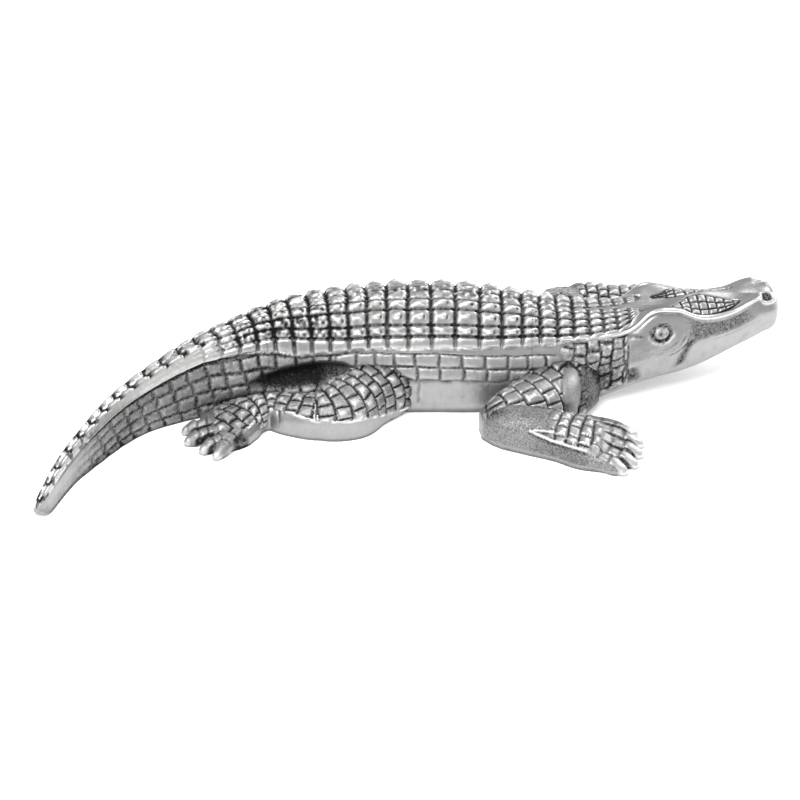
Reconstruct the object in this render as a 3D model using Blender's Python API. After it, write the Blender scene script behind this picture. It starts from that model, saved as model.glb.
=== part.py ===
"""Alligator figurine, cast in one piece of aluminium.

The animal walks towards +X with its head raised and turned a little to its left, its tail swept
round to its right, and its belly, feet and tail flat on the ground. The body is a loft along a
spine: every section stands upright across it, and rings of keeled scutes run down the back. The
legs are lofts of their own, joined to the body, and the whole is cut flat on the ground.
"""

import math

import bmesh
import bpy
import numpy as np
from mathutils import Matrix, Vector

# Driving size: the figurine's length along X. The pose, the proportions and the carving are shares
# of it, given below in three-hundredths, so on the real piece one share is one millimetre.
LENGTH = 0.300
SHARES = 300.0
SHARE = LENGTH / SHARES

# The figurine's own frame has its origin under the middle of its box, on the ground. The forms below
# are placed from a point on the ground under the middle of the back, which lies here in that frame.
BACK_PLACE = (0.0, 20.25, 0.0)

# The casting's flat underside is cut this far above the lowest point of the rough forms.
GROUND_ALLOWANCE = 1.5

# The spine seen from above, from the tail's tip to the end of the snout.
SPINE = (
    (-148.6, -109.5), (-141.6, -93.8), (-135.4, -78.6), (-127.3, -63.3), (-117.0, -45.8),
    (-109.0, -35.8), (-97.0, -26.0), (-84.0, -17.6), (-69.6, -10.8), (-47.5, -4.5),
    (-20.0, -1.0), (10.0, 0.0), (45.0, 0.0), (75.0, 1.2), (98.9, 4.6),
    (116.0, 9.0), (142.0, 15.7), (148.6, 17.4),
)

# Half sections, from the middle of the back down to the middle of the belly. Each point is a share
# of the half width and a share of the height. Lines 0 to 4 bound the rows of scutes, 4 to 5 is the
# smooth band or the ridge under them, 5 to 7 the flank or the cheek, 7 the mouth, 8 the lower rim.
PROFILES = {
    "tail": ((0, .93), (.27, 1), (.42, .9), (.51, .8), (.59, .7), (.72, .53), (.82, .38), (.92, .23),
             (1, .09), (.86, 0), (0, 0)),
    "rump": ((0, .985), (.22, 1), (.42, .94), (.56, .83), (.64, .73), (.78, .57), (.87, .43),
             (.94, .29), (1, .1), (.88, 0), (0, 0)),
    "trunk": ((0, 1), (.223, .975), (.412, .93), (.604, .83), (.7, .74), (.836, .597), (.9, .47),
              (.948, .345), (.995, .1), (.9, 0), (0, 0)),
    "neck": ((0, 1), (.2, .99), (.4, .955), (.58, .9), (.7, .83), (.86, .68), (.95, .52), (1, .38),
             (.93, .14), (.72, 0), (0, 0)),
    "brow": ((0, .9), (.2, .915), (.42, .975), (.58, 1), (.68, .95), (.84, .73), (.97, .52),
             (1, .36), (.86, .12), (.6, 0), (0, 0)),
    "snout": ((0, 1), (.25, .965), (.48, .91), (.66, .855), (.8, .83), (.92, .66), (.99, .52),
              (1, .42), (.93, .18), (.66, 0), (0, 0)),
    "nose": ((0, .84), (.22, .9), (.42, .985), (.58, 1), (.74, .93), (.92, .74), (.99, .6),
             (.98, .48), (.86, .2), (.6, 0), (0, 0)),
}

# Stations along the body: place along X, half width, underside, top of the back, profile.
STATIONS = (
    (-148.6, 1.6, 1.2, 5.4, "tail"), (-146.6, 2.9, -1.5, 7.6, "tail"),
    (-141.6, 3.9, -1.5, 10.2, "tail"), (-135.4, 4.6, -1.5, 12.4, "tail"),
    (-127.3, 5.7, -1.5, 15.4, "tail"), (-117.0, 7.1, -1.5, 18.2, "tail"),
    (-109.0, 8.1, -1.5, 20.0, "tail"), (-97.0, 9.8, -1.5, 24.0, "tail"),
    (-84.0, 12.2, -1.5, 28.2, "tail"), (-69.6, 15.2, -1.5, 31.6, "rump"),
    (-47.5, 19.6, -1.5, 37.2, "rump"), (-20.0, 23.6, -1.5, 41.0, "trunk"),
    (10.0, 25.0, -1.5, 42.0, "trunk"), (35.0, 24.4, -1.5, 39.8, "trunk"),
    (58.0, 22.4, -1.5, 34.6, "neck"), (70.0, 21.4, -0.9, 33.2, "neck"),
    (79.0, 20.6, 2.2, 33.0, "neck"), (88.0, 19.4, 5.2, 33.4, "neck"),
    (96.0, 17.8, 5.6, 35.8, "brow"), (104.0, 16.4, 6.4, 35.6, "brow"),
    (114.0, 14.6, 8.4, 35.6, "snout"), (128.0, 12.2, 13.2, 34.0, "snout"),
    (140.0, 11.4, 17.6, 34.8, "nose"), (145.6, 9.8, 20.0, 33.4, "nose"),
    (148.6, 5.6, 23.2, 30.2, "nose"),
)

# Grooves between the rings of scutes: number of the groove from the nape, and its place along X.
RING_ANCHORS = (
    (0, 93.4), (5, 66.3), (9, 38.1), (13, 0.4), (18, -40.0), (24, -84.0), (28, -110.6),
    (33, -135.0), (36, -148.0),
)
RINGS = 36
# Rings further back than this have no loop of points at their middle.
TAIL_END_RINGS = -122.0
RING_PEAK = 0.82
RING_MIDDLE = 0.4
RING_MIDDLE_RISE = 0.25
GROOVE_DEPTH = 1.1
KEEL_RISE = 0.9
CREST_RISE = 1.5
ROW_GROOVE = 0.3
ROW_CROWN = 0.5
SCUTE_ROWS = 4
FLANK_GROOVE = 0.45
FLANK_FADE = 3.5
# Along X, where the trunk's scutes turn into the tail's crest, and where the scutes get lower towards
# the tail's tip and towards the nape.
CREST_STARTS = -60.0
CREST_FULL = -95.0
TAIL_SLIMS = -100.0
TAIL_SLIMMEST = -148.0
NAPE_SLIMS = 50.0
NAPE_SLIMMEST = 68.0
SLIM_SHARE = 0.55
# The tail's crest reaches down to this line, and what is under it rises by this share of it.
CREST_LINE = 1.5
UNDER_CREST = 0.6

# Lines followed round each half section, on the body and on the head.
BODY_LINES = (0, .5, 1, 1.5, 2, 2.5, 3, 3.5, 4, 5, 6, 8, 9)
HEAD_LINES = (0, .9, 1.8, 2.9, 4, 4.6, 5.4, 6.2, 6.75, 7, 7.25, 8, 9)
LAST_LINE = 10
# Half the stretch of lines over which a section's slope is read.
SLOPE_REACH = 0.1
HEAD_START = 93.4
HEAD_FULL = 101.0
HEAD_STEP = 3.2

MOUTH_START = 104.0
MOUTH_DEPTH = 0.9
MOUTH_LINE = 7

# Eyes and nostrils: place along X or distance back from the snout's end, distance from the head's
# middle, height and size.
EYE_X = 98.6
EYE_OUT = 14.0
EYE_HEIGHT = 27.6
EYE_RADIUS = 4.2
NOSTRIL_SETBACK = 6.4
NOSTRIL_OUT = 6.8
NOSTRIL_HEIGHT = 33.2
NOSTRIL_RADIUS = 2.9
NOSTRIL_HOLE_RADIUS = 1.7
NOSTRIL_DEPTH = 2.6
NOSTRIL_SPLAY = 38
NOSTRIL_FOOT = 1.3
NOSTRIL_FLOOR = 0.8
NOSTRIL_SIDES = 10

# The hollow in the right flank over the hind leg: its middle, and its half sizes.
HOLLOW_CENTRE = (-41.0, -23.5, 16.0)
HOLLOW_SIZE = (21.0, 8.0, 4.4)
HOLLOW_TURN = 8
HOLLOW_TILT = 9

# Legs: X, Y, height, half width and half thickness of each section, from the body outwards.
LEGS = {
    "near_fore_arm": (
        (70, -14, 10, 9, 8), (64, -21, 10.2, 12, 8.6), (54, -30, 9.6, 11.5, 8.6),
        (43, -38, 8.8, 10, 8.6), (34.5, -42, 7, 7.6, 7.4), (29.5, -43, 6, 4.4, 4.5),
    ),
    "near_fore_hand": (
        (31.5, -42, 5.6, 4.1, 4.7), (38, -45.5, 7, 7.4, 7), (50, -50, 7.4, 9.4, 7.6),
        (62, -53.5, 6.6, 11.5, 7.2), (72, -55.5, 5.2, 16, 6.2), (80, -56.5, 3.8, 19.5, 5.2),
        (86, -59, 2.6, 17, 4.2), (89.5, -60, 1.8, 12.5, 2.6),
    ),
    "near_hind_thigh": (
        (-4, -12, 9, 9, 8), (-9, -18, 9.4, 11.8, 9), (-17, -27, 9.2, 11.8, 9.6),
        (-25, -34, 8.4, 14, 9), (-33, -38, 7, 11, 8.2), (-39, -39, 5.6, 7, 6.6),
    ),
    "near_hind_shin": (
        (-25, -38, 6.4, 9, 7), (-35, -37.5, 6.2, 10.2, 7.6), (-45, -34.5, 5.6, 9.8, 7),
        (-55, -31.5, 5, 8, 6.2), (-62, -34, 4.4, 9, 5.6), (-69, -40, 3.6, 12, 4.8),
        (-75, -45.5, 2.8, 13.5, 4.2), (-79, -48.5, 2, 9.5, 2.8),
    ),
    "far_fore_arm": (
        (62, 12, 20, 9, 9), (62, 21, 18, 11.5, 10), (62, 32, 14.5, 10.5, 9),
        (63, 42, 10.5, 9.5, 8.2), (66, 48, 9, 7.5, 7),
    ),
    "far_fore_hand": (
        (58.8, 45.2, 7.4, 4.8, 5.6), (68, 48.5, 8, 8, 7.4), (80, 50, 7, 8.5, 7.4), (90, 51, 5.6, 11, 6.6),
        (99, 52, 4.2, 15, 5.4), (105, 53, 2.8, 14.5, 4.4), (109, 53.5, 2, 10.5, 2.8),
    ),
    "far_hind_thigh": (
        (-22, 12, 9.5, 10, 8.5), (-15, 19, 9.6, 12, 9), (-4, 27, 9, 12.5, 9.4),
        (6, 33, 8, 10.5, 9), (13, 36, 6, 6.5, 6.5),
    ),
    "far_hind_shin": (
        (13, 33, 6, 6, 6), (4, 36, 6.4, 8.5, 7), (-7, 37.5, 5.8, 8, 6.6), (-16, 38, 5, 7.5, 6),
        (-24, 41, 3.8, 10, 5), (-31, 43.5, 2.8, 11.5, 4.2), (-34.5, 45, 2, 8.5, 2.8),
    ),
}
LEG_SIDES = 10
SHARP_ANGLE = 40
# A section whose middle is lower than the first height stands on upright walls, and one whose
# middle is higher than the second is a full oval.
SKIRT_HEIGHTS = (8, 13)
WALL_SQUARENESS = 0.32

# Toes: root seen from above and radius there, and tip seen from above.
TOES = {
    "near_fore": (
        ((79, -70, 3.2), (87.5, -75)), ((82, -66, 3.4), (92.5, -69.5)),
        ((84, -59.5, 3.5), (94.5, -61)), ((83.5, -52.5, 3.4), (94.8, -52.5)),
        ((79, -44, 3.2), (92.5, -44.5)),
    ),
    "near_hind": (
        ((-69, -51, 3.2), (-76.5, -64)), ((-73.5, -53, 3.2), (-82.5, -59)),
        ((-78.5, -48.5, 3.3), (-88.8, -51.5)), ((-79, -41, 3.2), (-90, -42.5)),
    ),
    "far_fore": (
        ((100, 63, 3.1), (108.5, 69)), ((104, 59.5, 3.3), (114.5, 63)),
        ((106, 54, 3.4), (117, 55)), ((105, 48, 3.3), (116, 47)), ((101, 42, 3.1), (111, 39)),
    ),
    "far_hind": (
        ((-26, 51, 3), (-32, 59)), ((-31, 50.5, 3.1), (-39, 56)), ((-34.5, 45.5, 3.2), (-44, 48)),
        ((-34, 40, 3.1), (-43.5, 39.5)),
    ),
}
TOE_SIDES = 6
TOE_TIP = 0.9
TOE_ROOT = 6
TOE_KNUCKLE = 0.62
KNUCKLE_SHARE = 0.8
KNUCKLE_RISE = 0.5
ROOT_HEIGHT = 0.9
CLAW_HEIGHT = 1.1


def smooth(x, knots, values):
    """The smooth curve through the values at the knots, read at x."""
    knots = np.asarray(knots, float)
    values = np.asarray(values, float)
    slopes = np.gradient(values, knots, axis=0)
    i = np.clip(np.searchsorted(knots, x) - 1, 0, len(knots) - 2)
    step = knots[i + 1] - knots[i]
    t = (np.clip(x, knots[0], knots[-1]) - knots[i]) / step
    near = (1 + 2 * t) * (1 - t) ** 2 * values[i] + t * (1 - t) ** 2 * step * slopes[i]
    far = t * t * (3 - 2 * t) * values[i + 1] + t * t * (t - 1) * step * slopes[i + 1]
    return near + far


def ease(x, low, high):
    """0 below low, 1 above high, with a smooth turn between."""
    t = min(max((x - low) / (high - low), 0.0), 1.0)
    return t * t * (3 - 2 * t)


def spine_at(x):
    """Position on the spine at this place along X, with the unit vectors along it and to its left."""
    xs = [point[0] for point in SPINE]
    ys = [point[1] for point in SPINE]
    step = 0.5
    ahead = smooth(min(x + step, xs[-1]), xs, ys)
    behind = smooth(max(x - step, xs[0]), xs, ys)
    along = Vector((min(x + step, xs[-1]) - max(x - step, xs[0]), ahead - behind, 0)).normalized()
    return Vector((x, smooth(x, xs, ys), 0)), along, Vector((-along.y, along.x, 0))


def half_section(x):
    """The eleven lines of the half section at this place, as distances out and heights."""
    xs = [station[0] for station in STATIONS]
    sizes = [station[1:4] for station in STATIONS]
    half_width, under, top = smooth(x, xs, sizes)
    shapes = [PROFILES[station[4]] for station in STATIONS]
    shape = smooth(x, xs, shapes)
    return np.stack([shape[:, 0] * half_width, under + shape[:, 1] * (top - under)], axis=1)


def ring_places():
    """Where the grooves between the rings of scutes lie along X, from the nape to the tail's tip."""
    numbers = [anchor[0] for anchor in RING_ANCHORS]
    places = [anchor[1] for anchor in RING_ANCHORS]
    return [float(smooth(k, numbers, places)) for k in range(RINGS + 1)]


def body_loops():
    """(place along X, phase in its ring) of each loop of the loft. The phase is None on the head."""
    loops = []
    grooves = ring_places()
    for front, rear in zip(grooves, grooves[1:]):
        for phase in (0, RING_MIDDLE, RING_PEAK) if front > TAIL_END_RINGS else (0, RING_PEAK):
            loops.append((front + phase * (rear - front), phase))
    loops.append((STATIONS[0][0], None))
    loops.reverse()
    end = STATIONS[-1][0]
    count = round((end - HEAD_START) / HEAD_STEP)
    for i in range(1, count + 1):
        loops.append((HEAD_START + (end - HEAD_START) * math.sin(i / count * math.pi / 2), None))
    return loops


def ring_lift(x, phase, line):
    """How far a point of the back or flank stands off the plain loft."""
    tail = 1 - ease(x, CREST_FULL, CREST_STARTS)
    slim = 1 - SLIM_SHARE * max(1 - ease(x, TAIL_SLIMMEST, TAIL_SLIMS), ease(x, NAPE_SLIMS, NAPE_SLIMMEST))
    if phase == 0:
        along = -GROOVE_DEPTH
    elif phase == RING_PEAK:
        along = KEEL_RISE + (CREST_RISE - KEEL_RISE) * tail
    else:
        along = RING_MIDDLE_RISE
    if line > SCUTE_ROWS:
        fade = max(0.0, 1 - (line - SCUTE_ROWS) / FLANK_FADE)
        return (-FLANK_GROOVE if phase == 0 else 0) * fade * slim
    crown = ROW_CROWN if line % 1 else -ROW_GROOVE
    crest = 1 if line <= CREST_LINE else UNDER_CREST
    if phase == 0:
        crown = 0
    return slim * (along * (1 - tail + tail * crest) + crown * (1 - tail))


def section_points(x, phase):
    """The closed section of the body at this place, counter-clockwise seen from the head."""
    lines = half_section(x)
    head = ease(x, HEAD_START, HEAD_FULL)
    wanted = [a + (b - a) * head for a, b in zip(BODY_LINES, HEAD_LINES)]
    half = []
    for at in wanted:
        out, height = smooth(at, range(LAST_LINE + 1), lines)
        out_on, height_on = smooth(min(at + SLOPE_REACH, LAST_LINE), range(LAST_LINE + 1), lines)
        out_back, height_back = smooth(max(at - SLOPE_REACH, 0), range(LAST_LINE + 1), lines)
        normal = Vector((height_back - height_on, out_on - out_back)).normalized()
        if at == 0:
            normal = Vector((0, 1))
        lift = ring_lift(x, phase, at) if phase is not None else 0
        if x > MOUTH_START and at == MOUTH_LINE:
            lift -= MOUTH_DEPTH
        half.append((max(out + lift * normal.x, 0), height + lift * normal.y))
    below = (0.0, lines[LAST_LINE][1])
    left = [(out, height) for out, height in half]
    right = [(-out, height) for out, height in reversed(half[1:])]
    centre, _, across = spine_at(x)
    return [centre + across * out + Vector((0, 0, height)) for out, height in left + [below] + right]


def loft(loops):
    """A closed mesh through loops of equally many points, capped at both ends."""
    mesh = bmesh.new()
    rows = [[mesh.verts.new(point * SHARE) for point in loop] for loop in loops]
    for row, beyond in zip(rows, rows[1:]):
        for i in range(len(row)):
            j = (i + 1) % len(row)
            mesh.faces.new((row[i], row[j], beyond[j], beyond[i]))
    for row, outwards in ((rows[0], -1), (rows[-1], 1)):
        mesh.faces.new(row[::outwards])
    bmesh.ops.triangulate(mesh, faces=mesh.faces)
    bmesh.ops.recalc_face_normals(mesh, faces=mesh.faces)
    return mesh


def make_object(name, mesh, collection, material):
    """A new object from a bmesh, shaded smooth but for its sharp edges."""
    data = bpy.data.meshes.new(name)
    mesh.to_mesh(data)
    mesh.free()
    data.materials.append(material)
    data.shade_smooth()
    data.set_sharp_from_angle(angle=math.radians(SHARP_ANGLE))
    made = bpy.data.objects.new(name, data)
    collection.objects.link(made)
    return made


def limb_mesh(sections):
    """A leg's loft through oval sections, each square to the limb's run seen from above."""
    points = [Vector(section[:3]) for section in sections]
    loops = []
    for i, (centre, section) in enumerate(zip(points, sections)):
        along = points[min(i + 1, len(points) - 1)] - points[max(i - 1, 0)]
        along.z = 0
        along.normalize()
        across = Vector((-along.y, along.x, 0))
        loop = []
        skirt = 1 - ease(centre.z, *SKIRT_HEIGHTS)
        floor = -centre.z - GROUND_ALLOWANCE / 2
        for k in range(LEG_SIDES):
            turn = 2 * math.pi * k / LEG_SIDES
            out = math.cos(turn)
            rise = section[4] * math.sin(turn)
            if rise < 0:
                out += skirt * (math.copysign(1, out) - out) * abs(out) ** WALL_SQUARENESS
                rise += skirt * (floor - rise)
            loop.append(centre + across * section[3] * out + Vector((0, 0, max(rise, floor))))
        loops.append(loop)
    return loft(loops)


def toe_mesh(root, tip):
    """A tapered toe that bends at its knuckle and ends in a claw on the ground."""
    start = Vector((root[0], root[1], root[2] * ROOT_HEIGHT))
    end = Vector((tip[0], tip[1], CLAW_HEIGHT))
    radius = root[2]
    back = start - (end - start).normalized() * TOE_ROOT
    knuckle = start.lerp(end, TOE_KNUCKLE) + Vector((0, 0, KNUCKLE_RISE))
    along = (end - start).normalized()
    across = Vector((-along.y, along.x, 0)).normalized()
    sections = ((back, radius), (start, radius), (knuckle, radius * KNUCKLE_SHARE), (end, TOE_TIP))
    loops = []
    for centre, size in sections:
        loop = []
        for k in range(TOE_SIDES):
            turn = 2 * math.pi * (k + 0.5) / TOE_SIDES
            loop.append(centre + across * size * math.cos(turn) + Vector((0, 0, size * math.sin(turn))))
        loops.append(loop)
    return loft(loops)


def boolean(target, other, operation):
    """Joins or cuts the target with another object, which stays behind as a hidden cutter."""
    modifier = target.modifiers.new(other.name, "BOOLEAN")
    modifier.operation = operation
    modifier.solver = "EXACT"
    modifier.object = other
    other.hide_render = True
    other.display_type = "WIRE"


def aluminium():
    """Cast aluminium, polished by hand."""
    material = bpy.data.materials.new("cast_aluminium")
    material.use_nodes = True
    shader = material.node_tree.nodes["Principled BSDF"]
    shader.inputs["Base Color"].default_value = (0.45, 0.45, 0.44, 1)
    shader.inputs["Metallic"].default_value = 1.0
    shader.inputs["Roughness"].default_value = 0.33
    return material


def head_point(x, out, height):
    """A point of the head by its place along X, its distance left of the middle and its height."""
    centre, _, across = spine_at(x)
    return (centre + across * out + Vector((0, 0, height))) * SHARE


def add_eyes(body, cutters, material):
    """An eyeball on each side, set in under the brow."""
    for side in (-1, 1):
        mesh = bmesh.new()
        bmesh.ops.create_uvsphere(mesh, u_segments=8, v_segments=6, radius=EYE_RADIUS * SHARE)
        place = Matrix.Translation(head_point(EYE_X, side * EYE_OUT, EYE_HEIGHT))
        bmesh.ops.transform(mesh, matrix=place, verts=mesh.verts)
        name = "eye_" + ("left" if side > 0 else "right")
        boolean(body, make_object(name, mesh, cutters, material), "UNION")


def add_nostrils(body, cutters, material):
    """A low crater on each side of the snout's end."""
    place = STATIONS[-1][0] - NOSTRIL_SETBACK
    kinds = (
        ("rim", NOSTRIL_RADIUS, NOSTRIL_FOOT, 2 * NOSTRIL_DEPTH, -NOSTRIL_DEPTH, "UNION"),
        ("hole", NOSTRIL_HOLE_RADIUS, NOSTRIL_FLOOR, NOSTRIL_DEPTH, 0, "DIFFERENCE"),
    )
    for side in (-1, 1):
        end = "left" if side > 0 else "right"
        centre = Matrix.Translation(head_point(place, side * NOSTRIL_OUT, NOSTRIL_HEIGHT))
        tilt = Matrix.Rotation(math.radians(-side * NOSTRIL_SPLAY), 4, spine_at(place)[1])
        for kind, radius, foot, height, rise, operation in kinds:
            mesh = bmesh.new()
            bmesh.ops.create_cone(
                mesh, cap_ends=True, segments=NOSTRIL_SIDES, radius1=radius * foot * SHARE,
                radius2=radius * SHARE, depth=height * SHARE,
            )
            lift = Matrix.Translation((0, 0, rise * SHARE))
            bmesh.ops.transform(mesh, matrix=centre @ tilt @ lift, verts=mesh.verts)
            cutter = make_object("nostril_" + kind + "_" + end, mesh, cutters, material)
            boolean(body, cutter, operation)


def cut_hollow(body, cutters, material):
    """The long hollow in the flank over the right hind leg."""
    mesh = bmesh.new()
    bmesh.ops.create_uvsphere(mesh, u_segments=12, v_segments=8, radius=SHARE)
    tilt = Matrix.Rotation(math.radians(-HOLLOW_TILT), 4, "Y")
    turn = Matrix.Rotation(math.radians(HOLLOW_TURN), 4, "Z") @ tilt
    place = Matrix.Translation(Vector(HOLLOW_CENTRE) * SHARE) @ turn @ Matrix.Diagonal((*HOLLOW_SIZE, 1))
    bmesh.ops.transform(mesh, matrix=place, verts=mesh.verts)
    boolean(body, make_object("hollow", mesh, cutters, material), "DIFFERENCE")


def add_legs(body, cutters, material):
    """The four legs with their toes, each joined to the body."""
    for name, sections in LEGS.items():
        boolean(body, make_object(name, limb_mesh(sections), cutters, material), "UNION")
    for foot, toes in TOES.items():
        for number, (root, tip) in enumerate(toes, 1):
            toe = make_object(f"{foot}_toe_{number}", toe_mesh(root, tip), cutters, material)
            boolean(body, toe, "UNION")


def cut_flat(body, cutters, material):
    """Cuts the underside of belly, feet and tail flat on the ground."""
    mesh = bmesh.new()
    bmesh.ops.create_cube(mesh, size=1)
    size = Matrix.Diagonal((LENGTH * 2, LENGTH * 2, LENGTH, 1))
    place = Matrix.Translation((0, 0, -LENGTH / 2)) @ size
    bmesh.ops.transform(mesh, matrix=place, verts=mesh.verts)
    boolean(body, make_object("ground", mesh, cutters, material), "DIFFERENCE")


def main():
    for old in list(bpy.data.objects):
        bpy.data.objects.remove(old)
    parts = bpy.data.collections.new("alligator_figurine")
    cutters = bpy.data.collections.new("cutters")
    bpy.context.scene.collection.children.link(parts)
    bpy.context.scene.collection.children.link(cutters)
    cutters.hide_render = True
    material = aluminium()
    loops = [section_points(x, phase) for x, phase in body_loops()]
    body = make_object("alligator", loft(loops), parts, material)
    cut_hollow(body, cutters, material)
    add_legs(body, cutters, material)
    add_eyes(body, cutters, material)
    add_nostrils(body, cutters, material)
    cut_flat(body, cutters, material)
    frame = bpy.data.objects.new("back_place", None)
    frame.location = Vector(BACK_PLACE) * SHARE
    parts.objects.link(frame)
    for placed in list(parts.objects) + list(cutters.objects):
        if placed.type == "MESH":
            placed.parent = frame


main()
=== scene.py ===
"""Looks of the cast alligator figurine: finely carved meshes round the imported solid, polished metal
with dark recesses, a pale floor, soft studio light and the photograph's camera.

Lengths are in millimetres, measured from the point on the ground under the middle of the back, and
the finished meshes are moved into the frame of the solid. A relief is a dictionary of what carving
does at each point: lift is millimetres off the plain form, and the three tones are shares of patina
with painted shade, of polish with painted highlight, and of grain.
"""

import math
from types import SimpleNamespace

import bpy
import numpy as np
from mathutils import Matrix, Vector
from mathutils.bvhtree import BVHTree


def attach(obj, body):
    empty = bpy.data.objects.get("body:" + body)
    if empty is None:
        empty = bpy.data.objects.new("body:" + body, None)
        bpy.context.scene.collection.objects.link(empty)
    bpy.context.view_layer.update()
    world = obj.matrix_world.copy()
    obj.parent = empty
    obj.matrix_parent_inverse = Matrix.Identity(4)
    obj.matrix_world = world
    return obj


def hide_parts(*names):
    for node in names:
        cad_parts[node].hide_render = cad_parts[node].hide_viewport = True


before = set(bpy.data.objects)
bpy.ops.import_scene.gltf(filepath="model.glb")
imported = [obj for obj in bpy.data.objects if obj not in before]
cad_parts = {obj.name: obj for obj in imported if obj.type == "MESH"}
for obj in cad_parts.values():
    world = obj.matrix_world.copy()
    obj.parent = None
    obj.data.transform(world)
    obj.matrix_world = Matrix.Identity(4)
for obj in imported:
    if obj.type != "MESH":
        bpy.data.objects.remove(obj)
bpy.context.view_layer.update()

MM = 0.001
NODE = "alligator"
# The three tones: patina with painted shade, polish with painted highlight, and grain.
TONES = ("dark", "shine", "rough")
BACK_PLACE = np.array([0.0, 20.25, 0.0])

# The spine seen from above, from the tail's tip to the end of the snout, as in the solid.
SPINE = (
    (-148.6, -109.5), (-141.6, -93.8), (-135.4, -78.6), (-127.3, -63.3), (-117.0, -45.8),
    (-109.0, -35.8), (-97.0, -26.0), (-84.0, -17.6), (-69.6, -10.8), (-47.5, -4.5),
    (-20.0, -1.0), (10.0, 0.0), (45.0, 0.0), (75.0, 1.2), (98.9, 4.6),
    (116.0, 9.0), (142.0, 15.7), (148.6, 17.4),
)

# Half sections from the middle of the back down to the middle of the belly, as in the solid. Each of
# their lines, 0 to 10, is a share of the half width and a share of the height.
PROFILES = {
    "tail": ((0, .93), (.27, 1), (.42, .9), (.51, .8), (.59, .7), (.72, .53), (.82, .38), (.92, .23),
             (1, .09), (.86, 0), (0, 0)),
    "rump": ((0, .985), (.22, 1), (.42, .94), (.56, .83), (.64, .73), (.78, .57), (.87, .43),
             (.94, .29), (1, .1), (.88, 0), (0, 0)),
    "trunk": ((0, 1), (.223, .975), (.412, .93), (.604, .83), (.7, .74), (.836, .597), (.9, .47),
              (.948, .345), (.995, .1), (.9, 0), (0, 0)),
    "neck": ((0, 1), (.2, .99), (.4, .955), (.58, .9), (.7, .83), (.86, .68), (.95, .52), (1, .38),
             (.93, .14), (.72, 0), (0, 0)),
    "brow": ((0, .9), (.2, .915), (.42, .975), (.58, 1), (.68, .95), (.84, .73), (.97, .52),
             (1, .36), (.86, .12), (.6, 0), (0, 0)),
    "snout": ((0, 1), (.25, .965), (.48, .91), (.66, .855), (.8, .83), (.92, .66), (.99, .52),
              (1, .42), (.93, .18), (.66, 0), (0, 0)),
    "nose": ((0, .84), (.22, .9), (.42, .985), (.58, 1), (.74, .93), (.92, .74), (.99, .6),
             (.98, .48), (.86, .2), (.6, 0), (0, 0)),
}
LAST_LINE = 10

# Stations along the body: place along X, half width, underside, top of the back, profile. The tail's
# tip is fuller than the solid's and a little further from the trunk.
STATIONS = (
    (-148.6, 3.0, 1.0, 7.6, "tail"), (-146.6, 3.5, 0.2, 8.5, "tail"),
    (-141.6, 4.2, -1.5, 10.2, "tail"), (-135.4, 4.8, -1.5, 12.4, "tail"),
    (-127.3, 5.7, -1.5, 15.4, "tail"), (-117.0, 7.1, -1.5, 18.2, "tail"),
    (-109.0, 8.1, -1.5, 20.0, "tail"), (-97.0, 9.8, -1.5, 24.0, "tail"),
    (-84.0, 12.2, -1.5, 28.2, "tail"), (-69.6, 15.2, -1.5, 31.6, "rump"),
    (-47.5, 19.6, -1.5, 37.2, "rump"), (-20.0, 23.6, -1.5, 41.0, "trunk"),
    (10.0, 25.0, -1.5, 42.0, "trunk"), (35.0, 24.4, -1.5, 39.8, "trunk"),
    (58.0, 22.4, -1.5, 34.6, "neck"), (70.0, 21.4, -0.9, 33.2, "neck"),
    (79.0, 20.6, 2.2, 33.0, "neck"), (88.0, 19.4, 5.2, 33.4, "neck"),
    (96.0, 17.8, 5.6, 35.8, "brow"), (104.0, 16.4, 6.4, 35.6, "brow"),
    (114.0, 14.6, 8.4, 35.6, "snout"), (128.0, 12.2, 13.2, 34.0, "snout"),
    (140.0, 11.4, 17.6, 34.8, "nose"), (145.6, 9.8, 20.0, 33.4, "nose"),
    (148.6, 5.6, 23.2, 30.2, "nose"),
)
ROUNDED_ENDS = (6.4, 3.0)
TIP_SHIFT = 1.8

# Rings of scutes: number from the nape, and place along X where it begins.
RING_ANCHORS = (
    (0, 93.4), (5, 66.3), (9, 38.1), (13, 0.4), (18, -40.0), (24, -84.0), (28, -110.6),
    (33, -135.0), (36, -148.0),
)
RINGS = 36
NAPE_X = 93.4

# Fineness of the body's mesh: millimetres between its loops, points that measure the spine, points
# along each stretch of the half section, and loops that round each end.
LOOP_STEP = 0.36
SPINE_POINTS = 4000
LINE_COUNTS = ((0, 4.2, 54), (4.2, 8.2, 50), (8.2, 9.2, 7), (9.2, 10, 3))
END_LOOPS = 7

# The pieces of the body: name, and the places along X where each begins and ends.
PIECES = (
    ("alligator_tail", -148.6, -58.7), ("alligator_trunk", -58.7, 49.6), ("alligator_head", 49.6, 148.6),
)

# Rows of scutes: place along X, then the first and the last of the lines that they lie between.
SCUTE_LINES = (
    (-148.6, 0.0, 2.9), (-110.0, 0.0, 3.0), (-85.0, 0.0, 3.1), (-45.0, 0.0, 4.75), (0.0, 0.0, 4.7),
    (30.0, 0.0, 4.55), (58.0, 0.0, 4.4), (66.0, 0.08, 4.1), (84.0, 0.3, 3.5), (90.0, 0.6, 2.5),
    (94.0, 1.2, 1.6),
)
SCUTE_ROWS = 4
SCUTE_CORNER = 1.7
TRUNK_KEEL = 1.25
KEEL_LONG = 1.9
KEEL_WIDE = 1.1
RING_DEPTH = 1.05
ROW_DEPTH = 0.45

# The plain row along the scutes' edge: its share of their width on the trunk and behind it, and its rise.
EDGE_ROW = 0.15
EDGE_ROW_BEHIND = 0.3
EDGE_STEP = 0.5

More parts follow.
